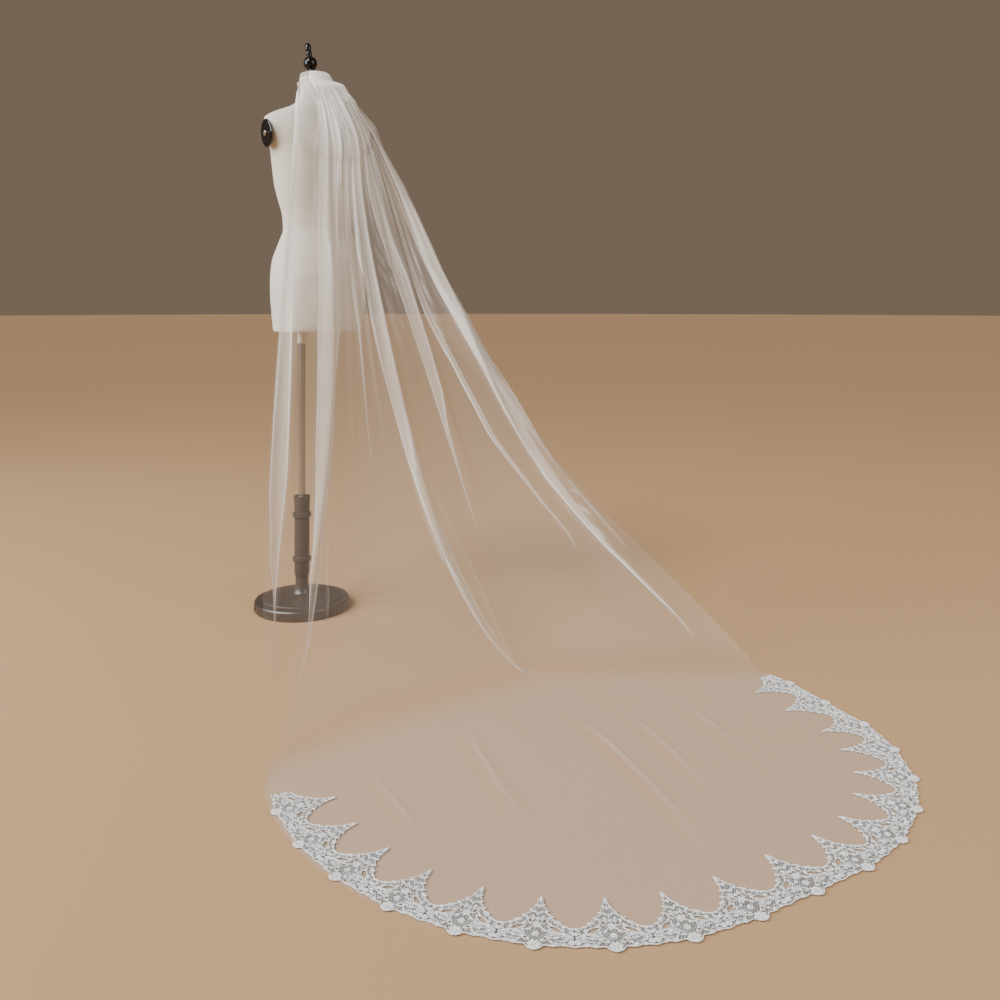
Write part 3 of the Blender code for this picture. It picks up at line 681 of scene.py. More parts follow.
PLEAT_DEPTH = 0.0050
# A pleat begins over the first of these lengths, opens below its last row over the second and
# fades over the third. It counts as closed from this width, and has edges this soft.
PLEAT_START = 0.06
PLEAT_OPENING = 0.22
PLEAT_FADE = 0.40
PLEAT_CLOSED = 0.012
PLEAT_EDGE = 0.003
# How far beside a pleat its lift settles: from and over
PLEAT_SETTLING = (0.006, 0.07)
# At a turn: half the width of the bright line (partly net seen edge-on, partly painted highlight), and the
# columns on each side, in steps of this share
TURN_HALF = 0.0022
TURN_COLUMNS = (-3.5, -2.5, -1.5, -0.5, 0.5, 1.5, 2.5, 3.5)
TURN_STEP = 0.0009
PLAIN_COLUMNS = 301
# A turn is rounded over this many of the fine steps, and the sheet's edges hold over this share
ROUNDING_POINTS = 2001
ROUNDING_REACH = 8
ROUNDING_WIDTH = 2.6
EDGE_HOLD = 0.004

# Distances below the band, each from where a change begins and over what length it runs
AT_HIP = (0.15, 0.45)
FOLDS_FREE = (0.35, 0.50)
PLEATS_STACKED = (0.30, 0.30)
GATHERS_BEGIN = (0.0, 0.03)
GATHERS_END = (0.05, 0.16)
BAND_END = (0.03, 0.04)
FULLNESS_PLEATED = (0.18, 0.36)
SHOULDER_END = (0.12, 0.45)
# The same for shares of the width: the far side, the back, and the near side's end
FAR_SIDE = (0.60, 0.20)
BACK = (0.35, 0.40)
NEAR_SIDE_END = (0.38, 0.14)

# Sharp creases, each with a painted highlight along it. Each has its height and half width in metres
# and the strength of its painted highlight, then rows of distance below the band and share of the width.
CREASES = (
    (0.0060, 0.0060, 1.8, (
        (0.11, 0.075), (0.40, 0.071), (0.47, 0.067), (0.55, 0.058), (0.63, 0.054),
        (0.71, 0.056),
    )),
    (0.0030, 0.0060, 0.9, (
        (0.10, 0.129), (0.30, 0.115), (0.48, 0.102), (0.66, 0.125), (0.80, 0.145),
        (0.95, 0.145), (1.10, 0.142),
    )),
    (0.0030, 0.0055, 0.9, (
        (1.12, 0.142), (1.28, 0.158), (1.42, 0.171), (1.45, 0.179),
    )),
    (0.0030, 0.0060, 1.3, (
        (0.60, 0.560), (0.92, 0.560), (1.04, 0.558), (1.20, 0.540), (1.39, 0.545),
        (1.47, 0.562), (1.72, 0.562),
    )),
    (0.0030, 0.0070, 0.6, (
        (1.20, 0.592), (1.37, 0.612), (1.48, 0.612), (1.60, 0.600), (1.70, 0.570),
    )),
    (0.0030, 0.0060, 0.9, (
        (0.42, 0.800), (0.70, 0.806), (1.00, 0.826), (1.20, 0.842), (1.40, 0.870),
        (1.52, 0.893),
    )),
    (0.0030, 0.0060, 0.6, (
        (0.42, 0.780), (0.70, 0.786), (0.95, 0.806),
    )),
    (0.0040, 0.0070, 1.4, (
        (1.37, 0.950), (1.46, 0.914), (1.54, 0.904), (1.64, 0.914), (1.73, 0.924),
        (1.82, 0.931),
    )),
    (0.0020, 0.0060, 0.6, (
        (0.10, 0.350), (0.25, 0.270), (0.45, 0.190), (0.62, 0.165),
    )),
    (0.0020, 0.0050, 0.6, (
        (0.12, 0.630), (0.30, 0.620), (0.45, 0.600), (0.62, 0.600), (0.80, 0.610),
    )),
    (0.0020, 0.0050, 0.5, (
        (0.12, 0.500), (0.30, 0.480), (0.50, 0.490), (0.80, 0.520),
    )),
)
CREASE_FADE = 0.10

# Soft creases of the train on the floor: both ends, height, half width and the strength of the
# painted highlight along each and the painted shade beside it.
TRAIN_CREASES = (
    ((0.171, -0.940), (-0.052, -1.620), 0.0060, 0.022, 1.1),
    ((0.262, -1.020), (0.102, -1.500), 0.0050, 0.020, 0.9),
    ((0.420, -1.060), (0.290, -1.480), 0.0040, 0.022, 0.6),
    ((-0.060, -0.900), (-0.230, -1.380), 0.0040, 0.024, 0.6),
    ((-0.330, -0.960), (-0.380, -1.260), 0.0036, 0.022, 0.5),
)

# How far the net stands off on the side of the far shoulder: distance below the band, height.
SHOULDER_TRIM = (
    (0.00, 0.000),
    (0.03, 0.007),
    (0.07, 0.009),
    (0.11, -0.004),
    (0.15, -0.008),
    (0.20, -0.004),
    (0.27, 0.003),
    (0.38, 0.012),
    (0.48, 0.012),
    (0.65, 0.004),
    (0.85, 0.009),
    (1.05, 0.009),
    (1.25, 0.003),
    (1.45, 0.000),
)


def mesh_piece(name, verts, faces, mat):
    """Smooth piece at the origin from vertices and faces."""
    mesh = bpy.data.meshes.new(name)
    mesh.from_pydata([tuple(v) for v in np.asarray(verts).tolist()], [], faces)
    mesh.materials.append(mat)
    mesh.shade_smooth()
    piece = bpy.data.objects.new(name, mesh)
    bpy.context.scene.collection.objects.link(piece)
    return piece


def ease(s):
    """Soft step: 0 up to s = 0, 1 from s = 1 on."""
    s = np.clip(s, 0.0, 1.0)
    return s * s * (3 - 2 * s)


def ramp(value, start, length):
    """Soft step: 0 up to the start, 1 from start + length on."""
    return ease((value - start) / length)


def bump_shape(s):
    """Soft ridge: 1 at s = 0, 0 from s = 1 or -1 outwards."""
    return np.where(np.abs(s) < 1, np.cos(np.pi * np.clip(s, -1, 1) / 2) ** 2, 0.0)


def lengths_along(path):
    """Distance of each point of a polyline from its start."""
    return np.concatenate([[0], np.cumsum(np.linalg.norm(np.diff(path, axis=0), axis=1))])


def resample(path, distances):
    """Points of a polyline at the given distances from its start."""
    reach = lengths_along(path)
    return np.column_stack([np.interp(distances, reach, column) for column in path.T])


def path_length(path):
    return lengths_along(path)[-1]


def hem_curve(count):
    """Points along the hem from its left end to its right end, at even distances."""
    turns, radii = zip(*HEM_RADII)
    turn = np.linspace(turns[0], turns[-1], 721)
    radius = smooth(turns, radii, turn)
    x = HEM_CENTRE[0] + radius * np.cos(np.radians(turn))
    y = HEM_CENTRE[1] + radius * np.sin(np.radians(turn))
    points = np.column_stack([x, y, np.zeros_like(x)])
    return resample(points, np.linspace(0, path_length(points), count))


def guide_values(shares):
    """Every column of LINES at each of the shares of the width."""
    marks = [row[0] for row in LINES]
    columns = []
    for k in range(1, len(LINES[0])):
        entries = [row[k] for row in LINES]
        if isinstance(entries[0], tuple):
            columns.append(np.column_stack([smooth(marks, part, shares) for part in zip(*entries)]))
        else:
            columns.append(smooth(marks, entries, shares))
    return columns


def guide_path(angle, ridge, leave, contact, bow, inner_power, outer_power):
    """One line of the panel from the header's top to the floor, and its length to the band."""
    turn = math.radians(angle)

    def beside_neck(z):
        radius = NECK_RADIUS + NECK_GAP + CLOTH / 2 + (NECK_TOP_Z - z) * NECK_SLOPE
        centre = TORSO_CENTRE_Y + float(neck_shift(z))
        return np.array([radius * math.sin(turn), centre - radius * math.cos(turn), z])

    header = np.array([beside_neck(BAND_TOP_Z + above) for above, _ in HEADER_SHAPE])
    flare = header[:, :2] - np.array([0, NECK_TOP_Y])
    flare /= np.linalg.norm(flare, axis=1)[:, None]
    header[:, :2] += flare * np.array([outwards for _, outwards in HEADER_SHAPE])[:, None]
    start = beside_neck(BAND_TOP_Z - BAND_HEIGHT)
    run = contact - leave[:2]
    side = np.array([-run[1], run[0]]) / np.linalg.norm(run)
    t = np.append(np.linspace(0, 1, SAG_POINTS) ** SAG_CROWDING, SAG_START)
    plan = leave[:2] + t[:, None] * run + (bow * 4 * t * (1 - t))[:, None] * side
    lift = (leave[2] - CLOTH / 2) * (1 - t**inner_power) ** outer_power
    falling = np.column_stack([plan, CLOTH / 2 + lift])
    knots = np.array([start, ridge, leave, falling[-1]])
    reach = lengths_along(knots)
    spots = np.linspace(0, reach[-1], SHOULDER_POINTS)
    over = np.column_stack([smooth(reach, knots[:, axis], spots) for axis in range(3)])[:SHOULDER_KEPT]
    falling = falling[:-1]
    hanging = falling[falling[:, 2] < over[-1, 2] - SHOULDER_CLEARANCE]
    band = path_length(np.vstack([header, over[:1]]))
    return np.vstack([header, over, hanging]), band


def guide_grid():
    """Guide points by (line, row) from the header to the hem, and each one's distance."""
    shares = np.linspace(0, 1, GUIDE_LINES)
    hem = hem_curve(1001)
    values = guide_values(shares)
    grid = []
    depth = []
    # Rows crowd a little round the band and the bend at the floor
    hang = np.linspace(0, 1, HANGING_ROWS + 1)
    hang = hang - ROW_CROWDING * np.sin(2 * np.pi * hang) / (2 * np.pi)
    for k, share in enumerate(shares):
        path, band = guide_path(*[column[k] for column in values])
        total = path_length(path)
        above = np.array(HEADER_ROWS) * (band - BAND_HEIGHT)
        beside = band - BAND_HEIGHT * np.array([1.0, 0.5])
        spots = np.concatenate([above, beside, band + hang * (total - band)])
        points = resample(path, spots)
        edge = np.array([np.interp(share, np.linspace(0, 1, len(hem)), hem[:, axis]) for axis in range(2)])
        contact = values[3][k]
        s = np.linspace(0, 1, TRAIN_ROWS + 1)[1:]
        edge = edge + HEM_TRIM * (contact - edge) / np.linalg.norm(contact - edge)
        plan = contact + s[:, None] * (edge - contact)
        ridge = np.zeros_like(s)
        along = bump_shape((s - TRAIN_RIDGE_MIDDLE) / TRAIN_RIDGE_REACH)
        for centre in TRAIN_RIDGES:
            ridge = np.maximum(ridge, bump_shape((share - centre) / TRAIN_RIDGE_HALF) * along)
        flat = np.column_stack([plan, REST_HEIGHT + TRAIN_RIDGE_HEIGHT * ridge])
        grid.append(np.vstack([points, flat]))
        far = np.linalg.norm(edge - contact)
        depth.append(np.concatenate([spots - band, total - band + s * far]))
    return shares, np.array(grid), np.array(depth), values


def fold_height(u, distance):
    """How far the broad folds stand out at a share of the width and a distance down."""
    total = np.zeros_like(u)
    hip = ramp(distance, *AT_HIP)
    for crest, half_width, at_shoulder, at_hip, end, narrowing in FOLDS:
        down = np.clip(distance / end, 0.0, 1.0)
        width = half_width * (1 - narrowing * down**2)
        fade = 1 - ramp(distance, 0.55 * end, 0.45 * end)
        depth = (at_shoulder * (1 - hip) + at_hip * hip) * ease(distance / 0.10) * fade
        total += depth * bump_shape((u - crest) / width)
    return total * (0.30 + 0.70 * ramp(distance, *FOLDS_FREE))


def pleat_state(distance, rows, turn_right, turn_left):
    """Left and right reach of a pleat and how far it is closed, at each distance."""
    down, left, right = (np.array(column) for column in zip(*rows))
    opened = ramp(distance, down[-1], PLEAT_OPENING)
    above = 1 - ease((down[0] - distance) / PLEAT_START)
    reach_left = np.interp(distance, down, left) * (1 - opened) + turn_left * opened
    reach_right = np.interp(distance, down, right) * (1 - opened) + turn_right * opened
    middle = (reach_left + reach_right) / 2
    spread = (reach_right - reach_left) * above
    closed = np.clip(spread / PLEAT_CLOSED, 0.0, 1.0)
    begun = above >= 1
    left = np.where(begun, reach_left, middle - spread / 2)
    right = np.where(begun, reach_right, middle + spread / 2)
    return left, right, closed


def panel_columns():
    """Shares of the flat width for the columns, closer together at each pleat's turns."""
    shares = list(np.linspace(0, 1, PLAIN_COLUMNS))
    for turn_right, turn_left, _ in PLEATS:
        for turn in (turn_right, turn_left):
            shares += list(turn + np.array(TURN_COLUMNS) * TURN_STEP)
    return np.array(sorted(s for s in set(shares) if 0 <= s <= 1))


def rounded_turns(columns, u):
    """The columns' places with the turns of the pleats rounded and both edges held."""
    fine = np.linspace(0, 1, ROUNDING_POINTS)
    sharp = np.interp(fine, columns, u)
    steps = np.arange(-ROUNDING_REACH, ROUNDING_REACH + 1)
    kernel = np.exp(-0.5 * (steps / ROUNDING_WIDTH) ** 2)
    even = np.convolve(np.pad(sharp, ROUNDING_REACH, mode="edge"), kernel / kernel.sum(), mode="valid")
    even += (sharp[0] - even[0]) * np.exp(-fine / EDGE_HOLD)
    even += (1.0 - even[-1]) * np.exp(-(1 - fine) / EDGE_HOLD)
    return np.clip(np.interp(columns, fine, even), 0.0, 1.0)


def lay_pleats(columns, distance, hanging_rows):
    """The columns' places with the pleats laid, by row, their lift, and how the net lies in them."""
    position = np.repeat(columns[:, None], distance.shape[1], axis=1)
    height, turn_light, stacked, ending = (np.zeros_like(position) for _ in range(4))
    index = np.arange(len(columns))
    for j in range(hanging_rows):
        d = distance[:, j]
        knots_v = [0.0]
        knots_u = [np.zeros_like(d)]
        states = []
        for turn_right, turn_left, table in PLEATS:
            left, right, closed = pleat_state(d, table, turn_right, turn_left)
            states.append((turn_right, turn_left, left, right, closed, table[-1][0]))
            knots_v += [turn_right, turn_left]
            knots_u += [right, left]
        knots_v = np.array(knots_v + [1.0])
        knots_u = np.array(knots_u + [np.ones_like(d)])
        cell = np.clip(np.searchsorted(knots_v, columns, side="right") - 1, 0, len(knots_v) - 2)
        f = (columns - knots_v[cell]) / (knots_v[cell + 1] - knots_v[cell])
        u = rounded_turns(columns, knots_u[cell, index] * (1 - f) + knots_u[cell + 1, index] * f)
        position[:, j] = u
        for turn_right, turn_left, left, right, closed, end in states:
            piled = closed * ease((u - left) / PLEAT_EDGE) * ease((right - u) / PLEAT_EDGE)
            stacked[:, j] += piled * ramp(d, *PLEATS_STACKED)
            ending[:, j] += piled * ramp(d, end - PLEAT_FADE, PLEAT_FADE)
            rise = ramp(columns, turn_right, turn_left - turn_right)
            settle = 1 - ramp(u - right, *PLEAT_SETTLING)
            height[:, j] += PLEAT_DEPTH * closed * rise * np.where(columns > turn_left, settle, 1.0)
            for turn in (turn_right, turn_left):
                turn_light[:, j] += closed * np.exp(-(((columns - turn) / TURN_HALF) ** 2))
    return position, height, turn_light, stacked, ending


def small_folds(position, distance, wide):
    """Height of the slack ridges, the fine creases and the sharp ones, and the painted highlights along
    the creases.
    """
    height = np.zeros_like(position)
    light = np.zeros_like(position)
    chance = np.random.default_rng(23)
    for _ in range(SLACK_RIDGES):
        middle, first, length = chance.uniform((0.03, 0.06, 0.35), (0.97, 0.50, 0.95))
        half_width, tall, drift = chance.uniform((0.008, 0.0006, -0.03), (0.024, 0.0030, 0.03))
        s = (distance - first) / length
        off = (position - middle - drift * s) * wide
        height += tall * bump_shape(2 * s - 1) * bump_shape(off / half_width)
    for _ in range(FINE_CREASES):
        middle, first, length = chance.uniform((0.02, 0.00, 0.25), (0.98, 0.40, 0.80))
        half_width, shine, drift = chance.uniform((0.0016, 1.0, -0.02), (0.0028, 4.0, 0.02))
        s = (distance - first) / length
        off = (position - middle - drift * s) * wide
        height += FINE_CREASE_HEIGHT * bump_shape(2 * s - 1) * bump_shape(off / (2.5 * half_width))
        # A painted highlight along each fine crease
        light += shine * bump_shape(2 * s - 1) * np.exp(-((off / half_width) ** 2))
    for tall, half_width, shine, table in CREASES:
        down, at = (np.array(column) for column in zip(*table))
        fade = ramp(distance, down[0] - CREASE_FADE / 2, CREASE_FADE)
        fade = fade * (1 - ramp(distance, down[-1], CREASE_FADE))
        off = (position - np.interp(distance, down, at)) * wide
        height += tall * fade * bump_shape(off / (1.6 * half_width))
        # A painted highlight along each sharp crease
        light += CREASE_DENSITY_AND_PAINTED_LIGHT * shine * fade * np.exp(-((off / (0.42 * half_width)) ** 2))
    return height, light


def train_creases(points, on_floor):
    """Height of the soft creases of the train, and their painted light: a highlight along each and a shade
    on one side of it.
    """
    height = np.zeros(points.shape[:2])
    light = np.zeros(points.shape[:2])
    for start, end, tall, half_width, shine in TRAIN_CREASES:
        start, end = np.array(start), np.array(end)
        run = end - start
        length = np.linalg.norm(run)
        away = points[:, :, :2] - start
        along = away @ run / length**2
        beside = (away[:, :, 0] * run[1] - away[:, :, 1] * run[0]) / length
        # The tall ones bow one way and the low ones the other
        beside = beside + 0.10 * length * (along - along**2) * (1 if tall > 0.004 else -1)
        strength = bump_shape(2 * along - 1) * on_floor
        height += tall * strength * bump_shape(beside / half_width)
        # A painted highlight along the crease, less a painted shade on one side of it
        line = bump_shape(beside / (0.3 * half_width)) - 0.35 * bump_shape(beside / half_width - 0.8)
        light += CREASE_DENSITY_AND_PAINTED_LIGHT * shine * strength * line
    return height, light


def guide_normals(guides, across, first_train):
    """Directions in which folds stand out, evened along each line and upright on the floor."""
    normals = np.cross(np.gradient(guides, axis=1), across)
    normals /= np.linalg.norm(normals, axis=2)[:, :, None]
    normals[:, first_train - 1 :] = (0, 0, 1)
    for _ in range(3):
        before, here, after = (normals[:, k : first_train + k - 3] for k in (5, 6, 7))
        normals[:, 6 : first_train + 3] = before + 2 * here + after
        normals /= np.linalg.norm(normals, axis=2)[:, :, None]
    return normals


def panel_mesh():
    """Points, layer count with its painted light, and flat place of each vertex of the panel, by (column,
    row).
    """
    shares, guides, depths, values = guide_grid()
    columns = panel_columns()
    rows = guides.shape[1]
    first_train = rows - TRAIN_ROWS
    across = np.gradient(guides, axis=0)
    normals = guide_normals(guides, across, first_train)
    spacing = np.linalg.norm(across, axis=2) * (GUIDE_LINES - 1)
    angles = values[0]
    neck_share = (angles - angles[0]) / (angles[-1] - angles[0])

    distance = np.array([np.interp(columns, shares, depths[:, j]) for j in range(rows)]).T
    position, height, turn_light, stacked, ending = lay_pleats(columns, distance, first_train)
    place = position * (GUIDE_LINES - 1)
    low = np.clip(place.astype(int), 0, GUIDE_LINES - 2)
    part = place - low
    row = np.arange(rows)[None, :]

    def between(grid):
        share = part if grid.ndim == 2 else part[:, :, None]
        return grid[low, row] * (1 - share) + grid[low + 1, row] * share

    points = between(guides)
    normal = between(normals)
    normal /= np.linalg.norm(normal, axis=2)[:, :, None]
    wide = between(spacing)
    distance = between(depths)
    full = np.clip(FLAT_WIDTH / np.maximum(wide, LEAST_WIDTH), 1.0, MOST_FULL)

    height += fold_height(position, distance)
    turn = 2 * np.pi * GATHERS * np.interp(position, shares, neck_share)
    gather = 0.5 - 0.5 * np.cos(turn)
    fine_gather = np.sin(3.3 * turn + 2.1 * gather)
    near_band = ramp(distance, *GATHERS_BEGIN) * (1 - ramp(distance, *GATHERS_END))
    height += (GATHER_DEPTH * gather + FINE_GATHER_DEPTH * fine_gather) * near_band
    height += NECK_PUFF * bump_shape(distance / NECK_PUFF_REACH - 1)
    # On the far shoulder the net stands off a little more, and less over the shoulder's point
    trim_at, trim = zip(*SHOULDER_TRIM)
    height += np.interp(distance, trim_at, trim) * ramp(position, *FAR_SIDE)
    header = np.clip(-distance / HEADER_HEIGHT, 0, 1)
    height += HEADER_RUFFLE * (2 * gather - 1) * ramp(header, 0.5, 0.5)
    # On the band the net lies outside the ribbon, most of all at the back
    cover = ramp(distance, -HEADER_HEIGHT, COVER_START) * (1 - ramp(distance, *BAND_END))
    height += BAND_COVER * (1 + ramp(position, *BACK)) * cover
    ridge_height, ridge_light = small_folds(position, distance, wide)
    on_floor = np.arange(rows)[None, :] >= first_train - 1
    train_height, train_light = train_creases(points, on_floor)
    height = np.where(on_floor, 0.0, height + ridge_height) + train_height
    points = points + normal * height[:, :, None]
    points[:, :, 2] = np.maximum(points[:, :, 2], REST_HEIGHT)

    # The pleats spend themselves before they reach the floor
    past_contact = distance - distance[:, first_train - 1 : first_train]
    spent = ramp(past_contact, -PLEATS_SPENT, PLEATS_SPENT)
    # Painted light in the layer count: highlights at the pleats' turns and along the creases, and painted
    # shade beside the train's creases
    light = turn_light * TURN_DENSITY_AND_HIGHLIGHT * (1 - 0.85 * spent) + ridge_light + train_light
    # Fullness is spread evenly at the shoulder, and lies in the pleats further down
    spread = 0.90 - 0.78 * ramp(distance, *FULLNESS_PLEATED)
    layers_and_painted_light = 1 + FULL_DENSITY * spread * (full - 1) + light
    layers_and_painted_light += PLEAT_DENSITY * stacked * (1 - 0.6 * spent)
    # The train is seen slantwise, where a net looks closer; before it the net is drawn thinner in a soft
    # line, a painted shadow where it meets the floor
    layers_and_painted_light += TRAIN_DENSITY * ramp(past_contact, *TRAIN_BEGINS)
    layers_and_painted_light -= PAINTED_SHADOW_LINE * bump_shape(past_contact / PAINTED_SHADOW_LINE_HALF)
    near_side = (1 - ramp(distance, *SHOULDER_END)) * (1 - ramp(position, *NEAR_SIDE_END))
    layers_and_painted_light += SHOULDER_DENSITY * near_side
    layers_and_painted_light = np.maximum(layers_and_painted_light * (1 - PLEAT_THINNING * np.clip(ending, 0, 1)), LEAST_LAYERS)
    flat = np.stack([np.repeat(columns[:, None] * FLAT_WIDTH, rows, axis=1), distance], axis=2)
    return points, layers_and_painted_light, flat


def soft_tulle():
    """Soft nylon tulle: a hexagonal net, matt with a faint lustre, clearer the flatter it lies."""
    settings = {"Roughness": 0.62, "Sheen Weight": 0.25, "Sheen Roughness": 0.35}
    mat = finish_material("soft_ivory_nylon_tulle", settings)
    cut = add_node(mat, "UVMap", {"uv_map": "cut"})
    # The layer count also carries painted highlights at turns and creases and a painted shadow line at the
    # floor
    layers_and_painted_light = add_node(mat, "Attribute", {"attribute_name": "layers_and_painted_light"})
    # Real holes are 1.2 mm across, drawn at 5 mm so that the net shows
    net = add_node(
        mat,
        "TexVoronoi",
        {"feature": "DISTANCE_TO_EDGE", "voronoi_dimensions": "2D", "Scale": 200.0, "Randomness": 0.6},
        [("Vector", cut, "UV")],
    )
    thread = add_node(
        mat,
        "MapRange",
        {"From Min": 0.0, "From Max": 0.35, "To Min": 1.20, "To Max": 0.88},
        [("Value", net, "Distance")],
    )
    # Long fine lines, 3 to 10 mm apart, where the net is full enough to crease by itself
    stretch = add_node(mat, "Mapping", {"Scale": (95.0, 2.2, 1.0)}, [("Vector", cut, "UV")])
    streak = add_node(mat, "TexNoise", {"Scale": 1.0, "Detail": 3.0}, [("Vector", stretch, "Vector")])
    lines = add_node(
        mat,
        "MapRange",
        {"From Min": 0.38, "From Max": 0.66, "To Min": -1.0, "To Max": 1.4},
        [("Value", streak, "Fac")],
    )
    room = add_node(
        mat,
        "MapRange",
        {"From Min": 2.4, "From Max": 9.0, "To Min": 0.0, "To Max": 4.5},
        [("Value", layers_and_painted_light, "Fac")],
    )
    folded = add_node(
        mat,
        "Math",
        {"operation": "MULTIPLY_ADD"},
        [(0, lines, "Result"), (1, room, "Result"), (2, layers_and_painted_light, "Fac")],
    )
    net_share = [(0, folded, "Value"), (1, thread, "Result")]
    covered = add_node(mat, "Math", {"operation": "MULTIPLY"}, net_share)
    # Dye takes a little unevenly, over about 200 mm
    dye = add_node(mat, "TexNoise", {"Scale": 5.0, "Detail": 3.0}, [("Vector", cut, "UV")])
    # One layer lets light through and looks grey, a stack of layers sends it back and looks white; the
    # painted highlights and the painted shadow line in the count make it whiter or greyer too
    twice = {"operation": "MULTIPLY_ADD", 1: 2.0}
    stack = add_node(mat, "Math", twice, [(0, dye, "Fac"), (2, folded, "Value")])
    white = add_node(mat, "MapRange", {"From Min": 2.0, "From Max": 15.0}, [("Value", stack, "Value")])
    stops = ((0.0, "e2d6c8"), (1.0, "fdf9f3"))
    tone = add_node(mat, "ValToRGB", {"stops": stops}, [("Fac", white, "Result")])
    feed(mat, "Base Color", tone, "Color")
    clear = add_node(mat, "Math", {"operation": "POWER", 0: 0.90}, [(1, covered, "Value")])
    seen = add_node(mat, "Math", {"operation": "SUBTRACT", 0: 1.0}, [(1, clear, "Value")])
    feed(mat, "Alpha", seen, "Value")
    bump = add_node(mat, "Bump", {"Strength": 0.15, "Distance": 0.0004}, [("Height", net, "Distance")])
    feed(mat, "Normal", bump, "Normal")
    return mat


def build_panel(mat):
    """The net sheet, with its layer count and painted light as an attribute and its flat cut as a UV map.
    """
    points, layers_and_painted_light, flat = panel_mesh()
    across, rows = points.shape[:2]
    faces = []
    for i in range(across - 1):
        for j in range(rows - 1):
            a = i * rows + j
            faces.append((a, a + 1, a + rows + 1, a + rows))
    panel = mesh_piece("tulle_panel", points.reshape(-1, 3), faces, mat)
    mesh = panel.data
    layer = mesh.attributes.new("layers_and_painted_light", "FLOAT", "POINT")
    layer.data.foreach_set("value", layers_and_painted_light.reshape(-1).astype(np.float32))
    corners = np.empty(len(mesh.loops), dtype=np.int32)
    mesh.loops.foreach_get("vertex_index", corners)
    cut = mesh.uv_layers.new(name="cut")
    cut.data.foreach_set("uv", flat.reshape(-1, 2)[corners].reshape(-1).astype(np.float32))
    return panel


panel = build_panel(soft_tulle())
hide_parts("veil_crown", "veil_fall_left", "veil_fall_middle", "veil_fall_right", "veil_train")
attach(panel, "root")


# Gathering band: a 7 mm strip of ivory satin ribbon, sewn over the gathers to hold the net round
# the neck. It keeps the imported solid.


def satin_ribbon():
    """Polyester satin ribbon: smooth warp gloss along its length, with a fine cross rib."""
    settings = {"Roughness": 0.35, "Sheen Weight": 0.3, "Anisotropic": 0.3}
    mat = finish_material("ivory_satin_ribbon", settings)
    place = add_node(mat, "TexCoord")
    # Ribs are 0.4 mm apart, drawn at 1.2 mm so that they show
    rib = add_node(
        mat,
        "TexWave",
        {"Scale": 260.0, "Distortion": 0.6, "bands_direction": "Z"},
        [("Vector", place, "Object")],
    )
    stops = ((0.0, "d9d6cf"), (1.0, "ece9e3"))
    tone = add_node(mat, "ValToRGB", {"stops": stops}, [("Fac", rib, "Fac")])
    feed(mat, "Base Color", tone, "Color")
    bump = add_node(mat, "Bump", {"Strength": 0.25, "Distance": 0.0003}, [("Height", rib, "Fac")])
    feed(mat, "Normal", bump, "Normal")
    return mat


nodes["veil_band"].material_slots[0].material = satin_ribbon()


# Lace border: one length of machine-corded edging, sewn flat to the bottom edge. Each of its
# repeats has a net ground, a tiered peak of leaves, corded scrolls and a round flower on the edge.

LACE_REPEATS = 18
LACE_PITCH = 0.1203
LACE_LEAD = 0.036
LACE_INSET = 0.008
LACE_FLOOR = 0.0015
GROUND_THICKNESS = 0.0005
LATTICE_PITCH = 0.0056
LATTICE_RADIUS = 0.00042
CORD_RADIUS = 0.00095
# Heights above the ground of a cord's middle, and of the foot of a leaf or picot and of a flower
CORD_LEVEL = 0.0008
SCROLL_LEVEL = 0.0009
MOTIF_LEVEL = 0.0004
FLOWER_LEVEL = 0.0005
LEAF_RISE = 0.0013
EYE_RISE = 0.0019
PICOT_RISE = 0.0011
PICOT_RADIUS = 0.0014
# A flower's parts as shares of its radius
PETAL_PLACE = 0.60
PETAL_LENGTH = 0.82
PETAL_WIDTH = 1.55
EYE_RADIUS = 0.26
SCROLL_STEPS = 18
SCROLL_CLOSING = 0.78

# Half of one repeat's inner edge, from the narrow band to the tip of the peak: along, inwards
PEAK_EDGE = (
    (0.053, 0.040),
    (0.042, 0.046),
    (0.033, 0.056),
    (0.024, 0.058),
    (0.022, 0.068),
    (0.013, 0.072),
    (0.012, 0.083),
    (0.0055, 0.088),
    (0.0045, 0.102),
    (0.000, 0.113),
)
# Eye-shaped gaps: centre along and inwards, length, width and turn in degrees
LACE_EYES = (
    (0.031, 0.037, 0.026, 0.0105, -28),
    (0.0125, 0.054, 0.015, 0.0080, 62),
    (0.052, 0.0215, 0.012, 0.0060, -10),
    (0.0155, 0.0165, 0.010, 0.0060, 40),
    (0.036, 0.0095, 0.011, 0.0050, 8),
)
# Leaves: centre along and inwards, length, width, turn in degrees
LACE_LEAVES = (
    (0.0, 0.105, 0.018, 0.0052, 90),
    (0.0060, 0.0905, 0.011, 0.0042, 30),
    (0.0, 0.088, 0.010, 0.0046, 90),
    (0.0130, 0.0765, 0.013, 0.0046, 24),
    (0.0055, 0.0745, 0.010, 0.0040, 62),
    (0.0225, 0.0635, 0.014, 0.0048, 18),
    (0.0, 0.071, 0.010, 0.0046, 90),
    (0.0085, 0.0640, 0.010, 0.0040, 40),
    (0.0330, 0.0535, 0.014, 0.0050, 8),
    (0.0215, 0.0490, 0.010, 0.0042, -40),
    (0.0445, 0.0445, 0.012, 0.0044, -6),
    (0.0190, 0.0430, 0.010, 0.0038, -62),
    (0.0260, 0.0260, 0.011, 0.0042, 24),
    (0.0445, 0.0290, 0.010, 0.0040, -24),
    (0.0450, 0.0140, 0.010, 0.0040, 6),
    (0.0240, 0.0110, 0.010, 0.0038, -38),
    (0.0570, 0.0390, 0.009, 0.0036, 14),
    (0.0100, 0.0140, 0.009, 0.0036, 70),
)
